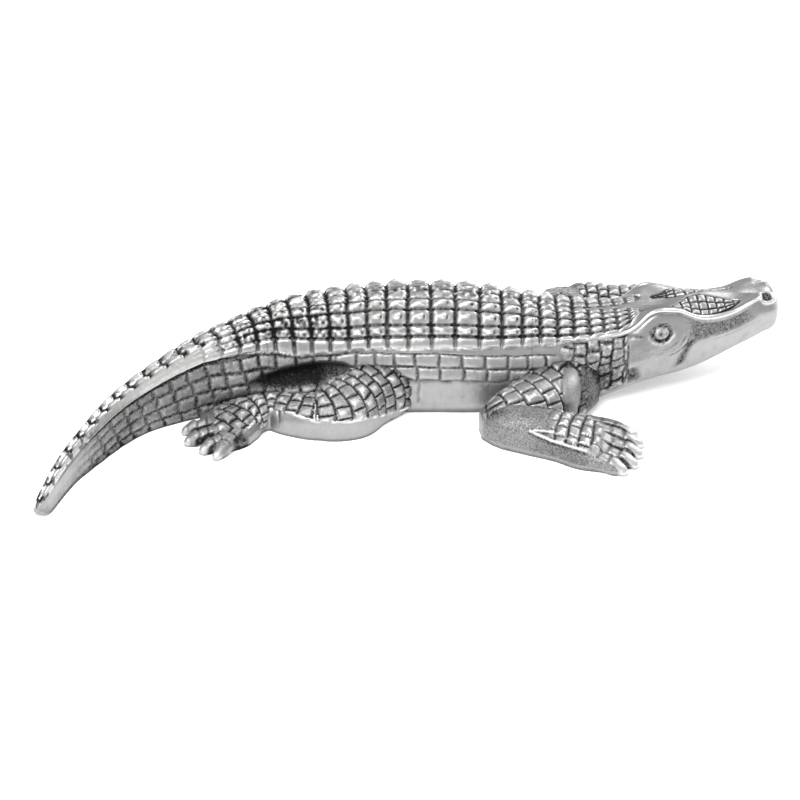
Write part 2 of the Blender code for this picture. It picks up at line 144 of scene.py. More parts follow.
# The tail's crest: where two rows of teeth run into one, a tooth's height, where its steep back begins
# as a share of the ring, and the notch behind it.
SINGLE_CREST = (-88.0, -101.0)
TAIL_KEEL = 2.2
STEEP_FROM = 0.9
NOTCH_AT = 0.93
NOTCH_WIDTH = 2.1

# Rows of scales on the tail's side, above this line of the half section.
TAIL_ROWS = 4
TAIL_RIM_LINE = 8.25

# The ridge from the neck over the eye to the nostril: place along X, line of the half section, height.
RIDGE = (
    (52.0, 4.0, 0.2), (66.0, 4.0, 0.45), (80.0, 3.9, 0.6), (88.0, 3.7, 0.8), (93.0, 3.65, 1.0),
    (98.0, 3.62, 1.1), (103.0, 3.72, 1.1), (108.0, 3.7, 0.9), (114.0, 4.0, 0.8), (132.0, 4.0, 0.8),
    (138.0, 3.8, 0.7), (142.0, 3.4, 0.3),
)
RIDGE_WIDTH = 0.8

# Scales on the neck's side: where they end, the line they start from, their length and their lines.
NECK_END = 85.0
NECK_LINE = 4.3
NECK_SCALE = 4.9
NECK_ROW = 0.82

# The two leaf-shaped patches of scales on the snout: their reach along X and over the lines, and the
# middle line and the fullness at shares of their length.
LEAF_FROM = 98.0
LEAF_TO = 132.5
LEAF_LINES = (0.45, 3.5)
LEAF_ROWS = 3
LEAF_SCALE = 3.5
LEAF_MIDDLE_SHARES = (0, 0.2, 0.45, 0.7, 1)
LEAF_MIDDLE = (1.25, 1.45, 1.75, 1.95, 2.15)
LEAF_SHARES = (0, 0.16, 0.28, 0.42, 0.56, 0.75, 0.9, 1)
LEAF_FULLNESS = (0.04, 0.14, 0.52, 0.95, 1, 0.74, 0.42, 0.04)

# Eye and nostril: place along X, distance from the spine, height, and sizes.
EYE = (98.9, 14.2, 27.6)
EYE_RADII = (4.9, 4.1)
BALL = 0.58
LID = 0.62
WRINKLES = (1.55, 1.9, 2.3)
NOSTRIL = (142.2, 6.8, 33.2)
NOSTRIL_RADIUS = 2.7

# The blind hollow over the near hind leg: middle, half sizes, and its turn and tilt in degrees.
HOLLOW_CENTRE = (-43.5, -23.5, 14.3)
HOLLOW_SIZE = (21.0, 8.0, 4.4)
HOLLOW_TURN = 8
HOLLOW_TILT = 9

# Legs: X, Y, height, half width and half thickness of each section, from the body out, as in the solid.
LEGS = {
    "near_fore_arm": (
        (70, -14, 10, 9, 8), (64, -21, 10.2, 12, 8.6), (54, -30, 9.6, 11.5, 8.6),
        (43, -38, 8.8, 10, 8.6), (34.5, -42, 7, 7.6, 7.4), (29.5, -43, 6, 4.4, 4.5),
    ),
    "near_fore_hand": (
        (31.5, -42, 5.6, 4.1, 4.7), (38, -45.5, 7, 7.4, 7), (50, -50, 7.4, 9.4, 7.6),
        (62, -53.5, 6.6, 11.5, 7.2), (72, -55.5, 5.2, 16, 6.2), (80, -56.5, 3.8, 19.5, 5.2),
        (86, -59, 2.6, 17, 4.2), (89.5, -60, 1.8, 12.5, 2.6),
    ),
    "near_hind_thigh": (
        (-4, -12, 9, 9, 8), (-9, -18, 9.4, 11.8, 9), (-17, -27, 9.2, 11.8, 9.6),
        (-25, -34, 8.4, 14, 9), (-33, -38, 7, 11, 8.2), (-39, -39, 5.6, 7, 6.6),
    ),
    "near_hind_shin": (
        (-25, -38, 6.4, 9, 7), (-35, -37.5, 6.2, 10.2, 7.6), (-45, -34.5, 5.6, 9.8, 7),
        (-55, -31.5, 5, 8, 6.2), (-62, -34, 4.4, 9, 5.6), (-69, -40, 3.6, 12, 4.8),
        (-75, -45.5, 2.8, 13.5, 4.2), (-79, -48.5, 2, 9.5, 2.8),
    ),
    "far_fore_arm": (
        (62, 12, 20, 9, 9), (62, 21, 18, 11.5, 10), (62, 32, 14.5, 10.5, 9),
        (63, 42, 10.5, 9.5, 8.2), (66, 48, 9, 7.5, 7),
    ),
    "far_fore_hand": (
        (58.8, 45.2, 7.4, 4.8, 5.6), (68, 48.5, 8, 8, 7.4), (80, 50, 7, 8.5, 7.4), (90, 51, 5.6, 11, 6.6),
        (99, 52, 4.2, 15, 5.4), (105, 53, 2.8, 14.5, 4.4), (109, 53.5, 2, 10.5, 2.8),
    ),
    "far_hind_thigh": (
        (-22, 12, 9.5, 10, 8.5), (-15, 19, 9.6, 12, 9), (-4, 27, 9, 12.5, 9.4),
        (6, 33, 8, 10.5, 9), (13, 36, 6, 6.5, 6.5),
    ),
    "far_hind_shin": (
        (13, 33, 6, 6, 6), (4, 36, 6.4, 8.5, 7), (-7, 37.5, 5.8, 8, 6.6), (-16, 38, 5, 7.5, 6),
        (-24, 41, 3.8, 10, 5), (-31, 43.5, 2.8, 11.5, 4.2), (-34.5, 45, 2, 8.5, 2.8),
    ),
}
SKIRT_HEIGHTS = (8, 13)

# The last sections of each foot under its toes, which take the place of the solid's.
PALM_ENDS = {
    "near_fore": ((80, -56, 3.6, 17, 5.0), (84.5, -57.5, 2.6, 14, 3.8), (88, -58.5, 1.6, 11, 2.4)),
    "near_hind": ((-75.5, -46, 2.6, 12.5, 4.0), (-79, -48, 1.6, 9, 2.6)),
    "far_fore": ((104.5, 52.8, 2.6, 14, 3.8), (107.5, 53.2, 1.6, 10.5, 2.4)),
    "far_hind": ((-31.5, 43.8, 2.6, 10.5, 4.0), (-34.5, 45, 1.6, 8, 2.6)),
}

# Toes: root seen from above and radius there, and tip seen from above.
TOES = {
    "near_fore": (
        ((76, -69.5, 3.8), (88, -75)), ((79.5, -65, 3.6), (92.5, -69.5)),
        ((81, -59, 3.7), (94.5, -61)), ((80.5, -52.5, 3.6), (94.8, -52.5)),
        ((76.5, -44.5, 3.4), (92.5, -44.5)),
    ),
    "near_hind": (
        ((-69, -51, 3.2), (-76.5, -64)), ((-73.5, -53, 3.2), (-82.5, -59)),
        ((-78.5, -48.5, 3.3), (-88.8, -51.5)), ((-79, -41, 3.2), (-90, -42.5)),
    ),
    "far_fore": (
        ((100, 63, 3.1), (108.5, 69)), ((104, 59.5, 3.3), (114.5, 63)),
        ((106, 54, 3.4), (117, 55)), ((105, 48, 3.3), (116, 47)), ((101, 42, 3.1), (111, 39)),
    ),
    "far_hind": (
        ((-26, 51, 3), (-32, 59)), ((-31, 50.5, 3.1), (-39, 56)), ((-34.5, 45.5, 3.2), (-44, 48)),
        ((-34, 40, 3.1), (-43.5, 39.5)),
    ),
}
TOE_SIDES = 16
TOE_LOOPS = 30
# A toe's form at shares of its length: its size over the root's radius, and its rise. Both are given
# again for the end behind the root, this far back.
TOE_SHARES = (0, 0.2, 0.36, 0.5, 0.64, 0.74, 0.8, 0.88, 0.95, 1)
TOE_SIZES = (1.08, 1.08, 0.98, 1.06, 1, 0.86, 0.74, 0.66, 0.52, 0.3)
TOE_RISES = (0.1, 0.3, 0.35, 0.75, 0.6, 0.4, 0.35, 0.3, 0.1, 0)
TOE_ROOT = (0.98, 0)
TOE_BACK = 6
# Cross folds and the claw's beginning, at shares of the toe's length.
TOE_FOLDS = (0.08, 0.42)
CLAW_SHARES = {"near_fore": 0.75, "near_hind": 0.95, "far_fore": 0.8, "far_hind": 0.85}

# Fineness of the legs: steps along a limb, points round it, and the voxels that fuse a leg. A leg
# flows into the body over the fillet's width, and its faces deeper in the body are left out.
FLOOR = -0.75
LIMB_STEP = 1.0
LIMB_SIDES = 44
VOXEL = 0.42
FILLET = 5.0
DEEPEST = 2.5
RELAXINGS = 5

# Marks on the near legs, as millimetres across and up in the photograph's view.
FOREARM_RIDGE = ((49.4, -20.0), (57.4, -23.6), (72.6, -28.4), (84.2, -35.6), (88.6, -37.0))
FOREARM_FOLD = ((51.0, -19.6), (58.0, -20.4), (66.0, -24.0), (74.0, -26.0))
THIGH_EDGE = ((-48.6, -12.4), (-35.8, -16.2), (-24.6, -16.6), (-9.0, -13.6), (6.2, -8.8))
SHIN_RIDGE = ((-71.5, -27.8), (-66.0, -21.8), (-60.6, -16.6))
KNEE_FOLDS = (-58.0, -54.6, -51.0)
SHOULDER_KNOB = (65.8, -29.5, 12.8)
KNOB_SIZE = (4.0, 9.5, 9.5)

# Painted shade, made grainy, at places where limbs leave the body, in the photograph's view: across, up,
# radius, share.
SHADED_PLACES = (
    (34.0, -11.0, 4.2, 0.75), (78.5, 0.8, 6.0, 0.45), (73.0, -7.5, 3.5, 0.6), (-13.0, -3.0, 4.0, 0.3),
    (-35.0, -5.0, 5.0, 0.4), (-72.0, -14.0, 9.0, 0.45), (60.0, 5.5, 5.0, 0.25), (46.0, 2.0, 5.0, 0.2),
    (-47.0, -2.6, 5.0, 0.4), (-58.0, 0.5, 6.0, 0.3), (66.0, 35.2, 6.5, 0.4),
)

# Light and camera. A lamp has a name, azimuth from the front towards the head, elevation, width and power.
WORLD_LIGHT = 0.8
FLOOR_GLOW = 0.32
FLOOR_REACH = 6.0
FLOOR_DROP = 0.0001
LAMPS = (("key", -35, 58, 40, 2.6), ("fill", 140, 40, 40, 1.2))
CAMERA_DISTANCE = 10.0
CAMERA_ELEVATION = 30
CAMERA_TARGET = (-2.6, -15.2, 0)
FRAME_WIDTH = 0.32

# The cast metal's greys: plain, in the recesses' patina and in painted shade, and where it is rubbed bright
# or carries a painted highlight.
PLAIN_GREY = (0.36, 0.36, 0.358, 1)
PATINA_AND_SHADE_GREY = (0.028, 0.028, 0.029, 1)
BRIGHT_GREY = (0.72, 0.72, 0.71, 1)


def smooth(x, knots, values):
    """The smooth curve through the values at the knots, read at each x."""
    knots = np.asarray(knots, float)
    values = np.asarray(values, float)
    x = np.clip(np.asarray(x, float), knots[0], knots[-1])
    slopes = np.gradient(values, knots, axis=0)
    i = np.clip(np.searchsorted(knots, x) - 1, 0, len(knots) - 2)
    step = knots[i + 1] - knots[i]
    t = (x - knots[i]) / step
    for _ in range(values.ndim - 1):
        t = t[..., None]
        step = step[..., None]
    near = (1 + 2 * t) * (1 - t) ** 2 * values[i] + t * (1 - t) ** 2 * step * slopes[i]
    far = t * t * (3 - 2 * t) * values[i + 1] + t * t * (t - 1) * step * slopes[i + 1]
    return near + far


def ease(x, low, high):
    """0 at low, 1 at high, with a smooth turn between. Low may be the larger."""
    t = np.clip((np.asarray(x, float) - low) / (high - low), 0, 1)
    return t * t * (3 - 2 * t)


def between(x, start, full, fading, end):
    """0 up to the start, 1 from full to fading, and 0 again from the end on."""
    return ease(x, start, full) * ease(x, end, fading)


def groove(distance, half_width):
    """1 on a line, falling to 0 at about twice the half width from it."""
    return np.exp(-((distance / half_width) ** 2))


def placed(name, data):
    """A new object of the scene with this data."""
    thing = bpy.data.objects.new(name, data)
    bpy.context.scene.collection.objects.link(thing)
    return thing


def hashed(*whole):
    """A number from 0 to 1 for each set of whole numbers, the same each run."""
    seed = np.zeros(np.broadcast(*whole).shape, np.uint64)
    for factor, number in zip((73856093, 19349663, 83492791, 49979687), whole):
        seed = seed ^ (np.asarray(number).astype(np.int64).astype(np.uint64) * np.uint64(factor))
    seed = (seed ^ (seed >> np.uint64(13))) * np.uint64(1274126177)
    seed = seed ^ (seed >> np.uint64(16))
    return (seed % np.uint64(100003)).astype(float) / 100003


def noise(points, size, seed=0):
    """Smooth noise from -1 to 1 at these points, with features of this size."""
    at = np.asarray(points, float) / size
    low = np.floor(at).astype(np.int64)
    t = at - low
    t = t * t * (3 - 2 * t)
    total = 0
    for corner in range(8):
        pick = np.array([(corner >> axis) & 1 for axis in range(3)])
        weight = np.prod(np.where(pick, t, 1 - t), axis=-1)
        cell = low + pick
        total = total + weight * hashed(cell[..., 0], cell[..., 1], cell[..., 2], seed)
    return total * 2 - 1


def warped(points, size, seed):
    """Two small offsets for each point that make straight rows waver as hand carving does."""
    return noise(points, size, seed), noise(points, size, seed + 1)


def grain(points, seed):
    """Fine and less fine grain of the casting's skin."""
    return noise(points, 0.85, seed) + 0.6 * noise(points, 2.1, seed + 1)


def plain_relief():
    """A relief without any carving."""
    return dict.fromkeys(("lift", *TONES), 0.0)


def carve(relief, shape, **amounts):
    """Adds a shape, which is a share at each point, to the relief in these amounts."""
    for tone, amount in amounts.items():
        relief[tone] = relief[tone] + amount * shape


def within(relief, share):
    """The relief, kept to a part of the surface."""
    return {tone: value * share for tone, value in relief.items()}


def spine_frames(x):
    """Points of the spine at these places along X, and the unit vectors along it and to its left."""
    xs, ys = zip(*SPINE)
    step = 0.5
    ahead = np.minimum(x + step, xs[-1])
    behind = np.maximum(x - step, xs[0])
    rise = smooth(ahead, xs, ys) - smooth(behind, xs, ys)
    along = np.stack([ahead - behind, rise, 0 * x], axis=-1)
    along /= np.linalg.norm(along, axis=-1, keepdims=True)
    across = np.stack([-along[..., 1], along[..., 0], 0 * x], axis=-1)
    return np.stack([x, smooth(x, xs, ys), 0 * x], axis=-1), along, across


def half_sections(x):
    """Half width, underside and height of the back at these places, with the eleven lines' shares."""
    xs = [station[0] for station in STATIONS]
    sizes = smooth(x, xs, [station[1:4] for station in STATIONS])
    shapes = smooth(x, xs, [PROFILES[station[4]] for station in STATIONS])
    return sizes, shapes


def ring_places():
    """Where along X each ring of scutes begins, and where the last one ends."""
    return smooth(np.arange(RINGS + 1), *zip(*RING_ANCHORS))


def body_grid():
    """The plain body as a grid of points: one row for each loop, from the tail's tip to the snout."""
    fine = np.linspace(STATIONS[0][0], STATIONS[-1][0], SPINE_POINTS)
    steps = np.linalg.norm(np.diff(spine_frames(fine)[0], axis=0), axis=1)
    run = np.concatenate([[0], np.cumsum(steps)])
    turns = np.linspace(0, math.pi / 2, END_LOOPS, endpoint=False)[1:]
    loops = np.unique(np.concatenate([
        np.linspace(0, run[-1], int(run[-1] / LOOP_STEP)),
        ROUNDED_ENDS[0] * (1 - np.cos(turns)),
        run[-1] - ROUNDED_ENDS[1] * (1 - np.cos(turns)),
    ]))
    x = np.interp(loops, run, fine)
    half = [np.linspace(low, high, count, endpoint=False) for low, high, count in LINE_COUNTS]
    half = np.concatenate(half + [[LAST_LINE]])
    sizes, shapes = half_sections(x)
    shares = np.moveaxis(smooth(half, range(LAST_LINE + 1), np.moveaxis(shapes, 1, 0)), 0, 1)
    out = shares[..., 0] * sizes[:, None, 0]
    height = sizes[:, None, 1] + shares[..., 1] * (sizes[:, 2] - sizes[:, 1])[:, None]
    middle = (sizes[:, 1] + sizes[:, 2])[:, None] / 2
    full = np.ones(len(x))
    for distance, radius in zip((loops, run[-1] - loops), ROUNDED_ENDS):
        rest = np.clip(1 - distance / radius, 0, 1)
        full = full * np.sqrt(np.maximum(1 - rest ** 2, 0.0004))
    out = out * full[:, None]
    height = middle + (height - middle) * full[:, None]
    out = np.concatenate([out, -out[:, -2:0:-1]], axis=1)
    height = np.concatenate([height, height[:, -2:0:-1]], axis=1)
    centre, along, across = spine_frames(x)
    centre[:, 0] += TIP_SHIFT * ease(x, -139, -148)
    points = centre[:, None] + across[:, None] * out[..., None] + np.array([0, 0, 1.0]) * height[..., None]
    return SimpleNamespace(
        points=points, x=x[:, None], line=np.concatenate([half, half[-2:0:-1]])[None],
        side=np.repeat([1, -1], [len(half), len(half) - 2])[None], out=out, height=height, loops=loops,
        slope=along[:, :1],
    )


def grid_normals(points):
    """Unit normals of a grid that closes round each row, pointing outwards."""
    along = np.gradient(points, axis=0)
    round_it = np.roll(points, -1, axis=1) - np.roll(points, 1, axis=1)
    normals = np.cross(along, round_it)
    return normals / (np.linalg.norm(normals, axis=-1, keepdims=True) + 1e-9)


def grid_faces(rows, columns):
    """Four-sided faces of a grid of points that closes round each row."""
    index = np.arange(rows * columns).reshape(rows, columns)
    a, b = index[:-1], index[1:]
    quads = np.stack([a, b, np.roll(b, -1, axis=1), np.roll(a, -1, axis=1)], axis=-1)
    return quads.reshape(-1, 4).tolist()


def blurred(grid, reach):
    """The grid averaged twice over this many points each way, closed round each row."""
    for _ in range(2):
        total = sum(np.roll(grid, shift, axis=1) for shift in range(-reach, reach + 1))
        grid = total / (2 * reach + 1)
        padded = np.pad(grid, ((reach, reach), (0, 0)), mode="edge")
        total = np.cumsum(np.pad(padded, ((1, 0), (0, 0))), axis=0)
        grid = (total[2 * reach + 1:] - total[:-2 * reach - 1]) / (2 * reach + 1)
    return grid


def plates(a, b, size_a, size_b, depth, seed, half_width, crown):
    """Cells of scales: how far they stand off, and where their grooves are. Sizes are in millimetres."""
    cell_a, cell_b = np.floor(a), np.floor(b)
    part_a, part_b = a - cell_a, b - cell_b
    gap_a = groove(np.minimum(part_a, 1 - part_a) * size_a, half_width)
    gap_b = groove(np.minimum(part_b, 1 - part_b) * size_b, half_width)
    gap = np.maximum(gap_a, gap_b)
    chance = hashed(cell_a, cell_b, seed)
    dome = (1 - (2 * part_a - 1) ** 4) * (1 - (2 * part_b - 1) ** 4)
    tilt = (hashed(cell_a, cell_b, seed + 1) - 0.5) * (part_a - 0.5)
    return dome * (crown * (0.5 + chance) + 0.5 * crown * tilt) - depth * gap, gap


def scute_cells(grid, per_line):
    """Where each point lies among the rings and the rows of scutes, and on which part of the back."""
    x = grid.x
    places = ring_places()
    waver, sway = warped(grid.points, 5.0, 61)
    ring = np.interp(-x, -places, np.arange(RINGS + 1)) + 0.04 * waver
    number = np.clip(np.floor(ring), 0, RINGS - 1)
    part = np.clip(ring - number, 0, 1)
    pitch = np.interp(ring, np.arange(RINGS) + 0.5, -np.diff(places)) / grid.slope
    at, lows, highs = zip(*SCUTE_LINES)
    low = np.interp(x, at, lows)
    high = np.interp(x, at, highs)
    share = (grid.line - low) / (high - low) + 0.016 * sway
    tail = ease(x, -58, -92)
    rump = ease(x, -28, -58) * (1 - tail)
    edge_row = EDGE_ROW + (EDGE_ROW_BEHIND - EDGE_ROW) * np.maximum(tail, rump)
    keeled = 1 - edge_row
    row_at = np.where(
        share < keeled, SCUTE_ROWS * share / keeled, SCUTE_ROWS + (share - keeled) / edge_row,
    )
    width = per_line * (high - low)
    per_row = width * np.where(row_at < SCUTE_ROWS, keeled / SCUTE_ROWS, edge_row)
    scallop = 0.5 * np.sin(math.pi * part) ** 0.8 * between(x, -100, -70, 58, 66)
    over = (row_at - SCUTE_ROWS - 1) * per_row - 0.9 * scallop
    inside = ease(over, 0.3, 0.0) * ease(row_at, -0.25, 0.02) * ease(x, NAPE_X + 1.4, NAPE_X + 0.4)
    row = np.clip(np.floor(row_at), 0, SCUTE_ROWS)
    row_part = np.clip(row_at - row, 0, 1)
    row_gap = np.where(row < SCUTE_ROWS, np.minimum(row_part, 1 - row_part), row_part) * per_row
    return SimpleNamespace(
        ring=ring, part=part, pitch=pitch, ring_gap=np.minimum(part, 1 - part) * pitch, high=high,
        share=share, tail=tail, rump=rump, keeled=keeled, row_at=row_at, width=width, per_row=per_row,
        over=over, inside=inside, row=row, row_part=row_part, row_gap=row_gap,
        edge=row == SCUTE_ROWS, chance=hashed(number, row, grid.side > 0),
    )


def keels(x, cells):
    """A rounded lump on each scute, a shallow pit on its side towards the head that is painted dark as the
    lump's shadow, and the scute's pillow.
    """
    from_keel = (cells.part - 0.54) * cells.pitch
    across_row = (cells.row_part - 0.5) * cells.per_row
    lump = groove(from_keel, KEEL_LONG) * groove(across_row, KEEL_WIDE)
    rank = np.where(cells.row < 1, 0.25, np.where(cells.row < 3, 1.0, 0.75)) * ~cells.edge
    keel = lump * rank * (0.35 + 0.85 * cells.chance) * TRUNK_KEEL * ease(x, 88, 72)
    pit = groove(np.hypot(from_keel + 2.0, 0.8 * (across_row - 0.2)), 0.62)
    pit = pit * rank * (cells.chance > 0.3) * ease(x, 84, 66)
    pillow = (1 - np.abs(2 * cells.row_part - 1) ** 3) * (1 - np.abs(2 * cells.part - 1) ** 4)
    plate = 0.75 * pillow * (1 - 0.4 * (cells.row < 1)) + 0.12 * cells.part
    return [shape * (1 - cells.tail) for shape in (keel, pit, plate)]


def crest(x, cells):
    """Two rows of teeth that run into one, the gap between them, and a notch behind each tooth, later
    painted dark as the shadow of the tooth's steep back.
    """
    part, keeled = cells.part, cells.keeled
    steep = STEEP_FROM
    sawtooth = np.where(part < steep, (part / steep) ** 1.5, (1 - part) / (1 - steep))
    single = ease(x, *SINGLE_CREST)
    teeth = np.clip(1 - np.abs(cells.row_at - 1.2 * (1 - single)) / (0.8 + 0.6 * single), 0, 1) ** 1.2
    teeth = teeth * sawtooth * TAIL_KEEL * np.maximum(cells.tail, 0.45 * cells.rump)
    parting = cells.tail * groove(cells.row_at * cells.per_row, 1.2) * (1 - single)
    parting = parting * (1 - groove(cells.ring_gap, 0.8))
    behind = (part - NOTCH_AT) * cells.pitch
    toothed = ease(x, -8, -24) * (1 - cells.tail)
    top = groove(behind, NOTCH_WIDTH * np.maximum(ease(cells.share, -0.1, 0.2), 0.06))
    top = top * ease(cells.share, 0.56 - 0.26 * toothed, 0.42 - 0.24 * toothed)
    low = groove(behind, np.maximum(ease(cells.share, keeled + 0.26, keeled - 0.1), 0.06))
    low = low * ease(cells.share, keeled - 0.2, keeled - 0.06) * cells.rump
    return teeth, parting, np.maximum(top * np.maximum(cells.tail, toothed), low), toothed


def scutes(grid, cells):
    """The relief of the rings of keeled scutes down the back, and of the tail's crest."""
    x, tail, edge, share = grid.x, cells.tail, cells.edge, cells.share
    keel, pit, plate = keels(x, cells)
    teeth, parting, notch, toothed = crest(x, cells)
    corner_a, corner_b = SCUTE_CORNER - cells.ring_gap, SCUTE_CORNER - cells.row_gap
    in_corner = (corner_a > 0) & (corner_b > 0)
    corner_gap = np.where(in_corner, SCUTE_CORNER - np.hypot(corner_a, corner_b), 9.0)
    corner = groove(np.maximum(corner_gap, 0), 0.5)
    ring_groove = np.maximum(groove(cells.ring_gap, 0.85), corner) * (1 - 0.55 * edge * cells.row_part)
    ring_groove = ring_groove * (1 - tail * (0.55 + 0.45 * ease(share, 0.3, 0.5)))
    row_groove = groove(cells.row_gap, 0.5) * (1 - tail) * (1 - 0.4 * (cells.row < 1))
    small_rows = ease(x, -14, -40) * (1 - tail) * between(cells.row_at, 0.9, 1.3, 3.85, 4.05)
    middle = ease(grid.line, 1.15, 0.25) * (1 - tail) * ease(x, 66, 54)
    slim = 1 - 0.55 * np.maximum(ease(x, -105, -148), ease(x, 52, 80))
    patchy = noise(grid.points, 1.5, 63)
    blot = ease(noise(grid.points, 2.2, 65), 0.0, 0.25) * ease(x, -120, -130) * ease(share, 0.1, 0.3)
    lift = slim * (
        keel * (1 - 0.7 * small_rows) + teeth + plate * (1 - 0.5 * small_rows) + EDGE_STEP
        - RING_DEPTH * ring_groove - ROW_DEPTH * row_groove
    )
    lift = lift - 0.6 * notch - 0.4 * pit - 0.8 * parting + (0.65 * small_rows + 0.45 * middle) * patchy
    arc = groove((share - 0.2 - 0.25 * (cells.part - 0.5) ** 2) * cells.width, 0.25)
    dark = np.maximum(0.56 * ring_groove, 0.42 * row_groove)
    dark = dark + middle * np.clip(0.3 - 0.6 * patchy, 0, 0.7) + small_rows * (0.4 - 0.6 * patchy)
    dark = dark + 0.5 * tail * arc * ease(patchy, -0.2, 0.3) + 0.25 * ease(x, -143, -148)
    # Painted shadow: the pits beside the keels and the notches behind the teeth are darkened.
    dark = np.maximum(np.maximum(dark, 0.95 * pit), 0.88 * notch) + 0.7 * blot
    # Painted highlights, partly polish: on the keels, along the step at the scutes' edge, on the edge row,
    # over the tail's crest and in patches by the middle of the back.
    shine = 1.25 * ease(keel, 0.25, 0.95) * (1 - 0.85 * small_rows)
    shine = shine + 1.1 * groove(cells.over + 0.3, 0.32) * (1 - tail) * ease(patchy, -0.7, 0.1)
    shine = shine + 0.8 * edge * groove(cells.row_part - 0.12, 0.12) * cells.rump
    shine = shine + tail * (0.85 - 0.3 * ease(share, 0.75, 1.0)) * (1 - 0.8 * ring_groove)
    shine = shine + middle * (0.9 * ease(patchy, 0.25, 0.6) + 0.6 * toothed)
    shine = shine * (1 - np.clip(2.2 * notch + 1.4 * pit + 0.8 * blot, 0, 1))
    rough = (0.35 + 0.45 * ring_groove + 0.4 * small_rows) * (1 - 0.7 * edge) * (1 - 0.6 * tail)
    rough = rough + 0.8 * notch
    return within({"lift": lift, "shine": shine, "dark": dark, "rough": rough}, cells.inside)


def flank_scales(grid, per_line, cells):
    """Two rows of flat scales on the flank, and the rows of the rump and the tail under the crest."""
    x, line, high = grid.x, grid.line, cells.high
    pitch = np.interp(cells.ring, np.arange(RINGS) + 0.5, -np.diff(ring_places()))
    waver, sway = warped(grid.points, 4.0, 71)
    ring = cells.ring + 0.06 * waver
    tail = ease(x, -27, -33)
    patchy = noise(grid.points, 2.2, 73)
    relief = plain_relief()
    # Trunk: rows between lines 5 and 7, and a third low one behind the middle.
    at = line + 0.06 * sway + 0.1 * ease(x, 40, -30)
    flat, gap = plates(ring + 0.06 * np.floor(at), at, pitch, per_line, 0.36, 5, 0.62, 0.42)
    trunk = (1 - tail) * between(at, 4.93, 5.0, 7.85, 7.95) * ease(x, 66, 54)
    trunk = trunk * (1 - (0.45 + 0.5 * ease(x, 2, 16)) * ease(at, 6.98, 7.05))
    carve(relief, trunk, lift=flat, dark=gap * (0.5 + 0.25 * patchy), rough=0.25 + 0.4 * gap)
    # Rump and tail: rows between the crest's edge and the lower rim.
    rows_from = high + 0.45 - 0.33 * ease(x, -74, -58)
    at = TAIL_ROWS * (line - rows_from) / (TAIL_RIM_LINE - rows_from) + 0.1 * sway
    per_row = per_line * (TAIL_RIM_LINE - rows_from) / TAIL_ROWS
    flat, gap = plates(ring + 0.12 * np.floor(at), at, pitch, per_row, 0.26, 9, 0.95, 0.34)
    rows = tail * between(at, -0.05, 0.03, 3.97, 4.05) * ease(x, -137, -122)
    carve(relief, rows, lift=flat, dark=0.44 * gap * (0.8 + 0.35 * patchy))
    channel = groove((line - high - 0.25) * per_line, 0.7) * between(x, -146, -128, -80, -62)
    carve(relief, tail * channel, lift=-0.55, dark=0.5)
    carve(relief, tail * ease(at, 4.2, 3.2) * ease(x, -132, -112), dark=0.05 + 0.12 * patchy)
    carve(relief, tail * ease(line, 4.6, 6.4) * ease(x, -108, -122), dark=0.24 * (1 + 0.5 * patchy))
    carve(relief, tail * between(at, -0.8, -0.1, 0.5, 1.4) * ease(x, -128, -100), dark=0.16)
    carve(relief, tail * ease(at, 4.3, 3.6) * ease(x, -140, -118), rough=0.45 + 0.75 * gap)
    carve(relief, ease(line, 7.2, 7.8) * (1 - tail) * ease(patchy, -0.2, 0.6), rough=0.35)
    return within(relief, 1 - cells.inside)


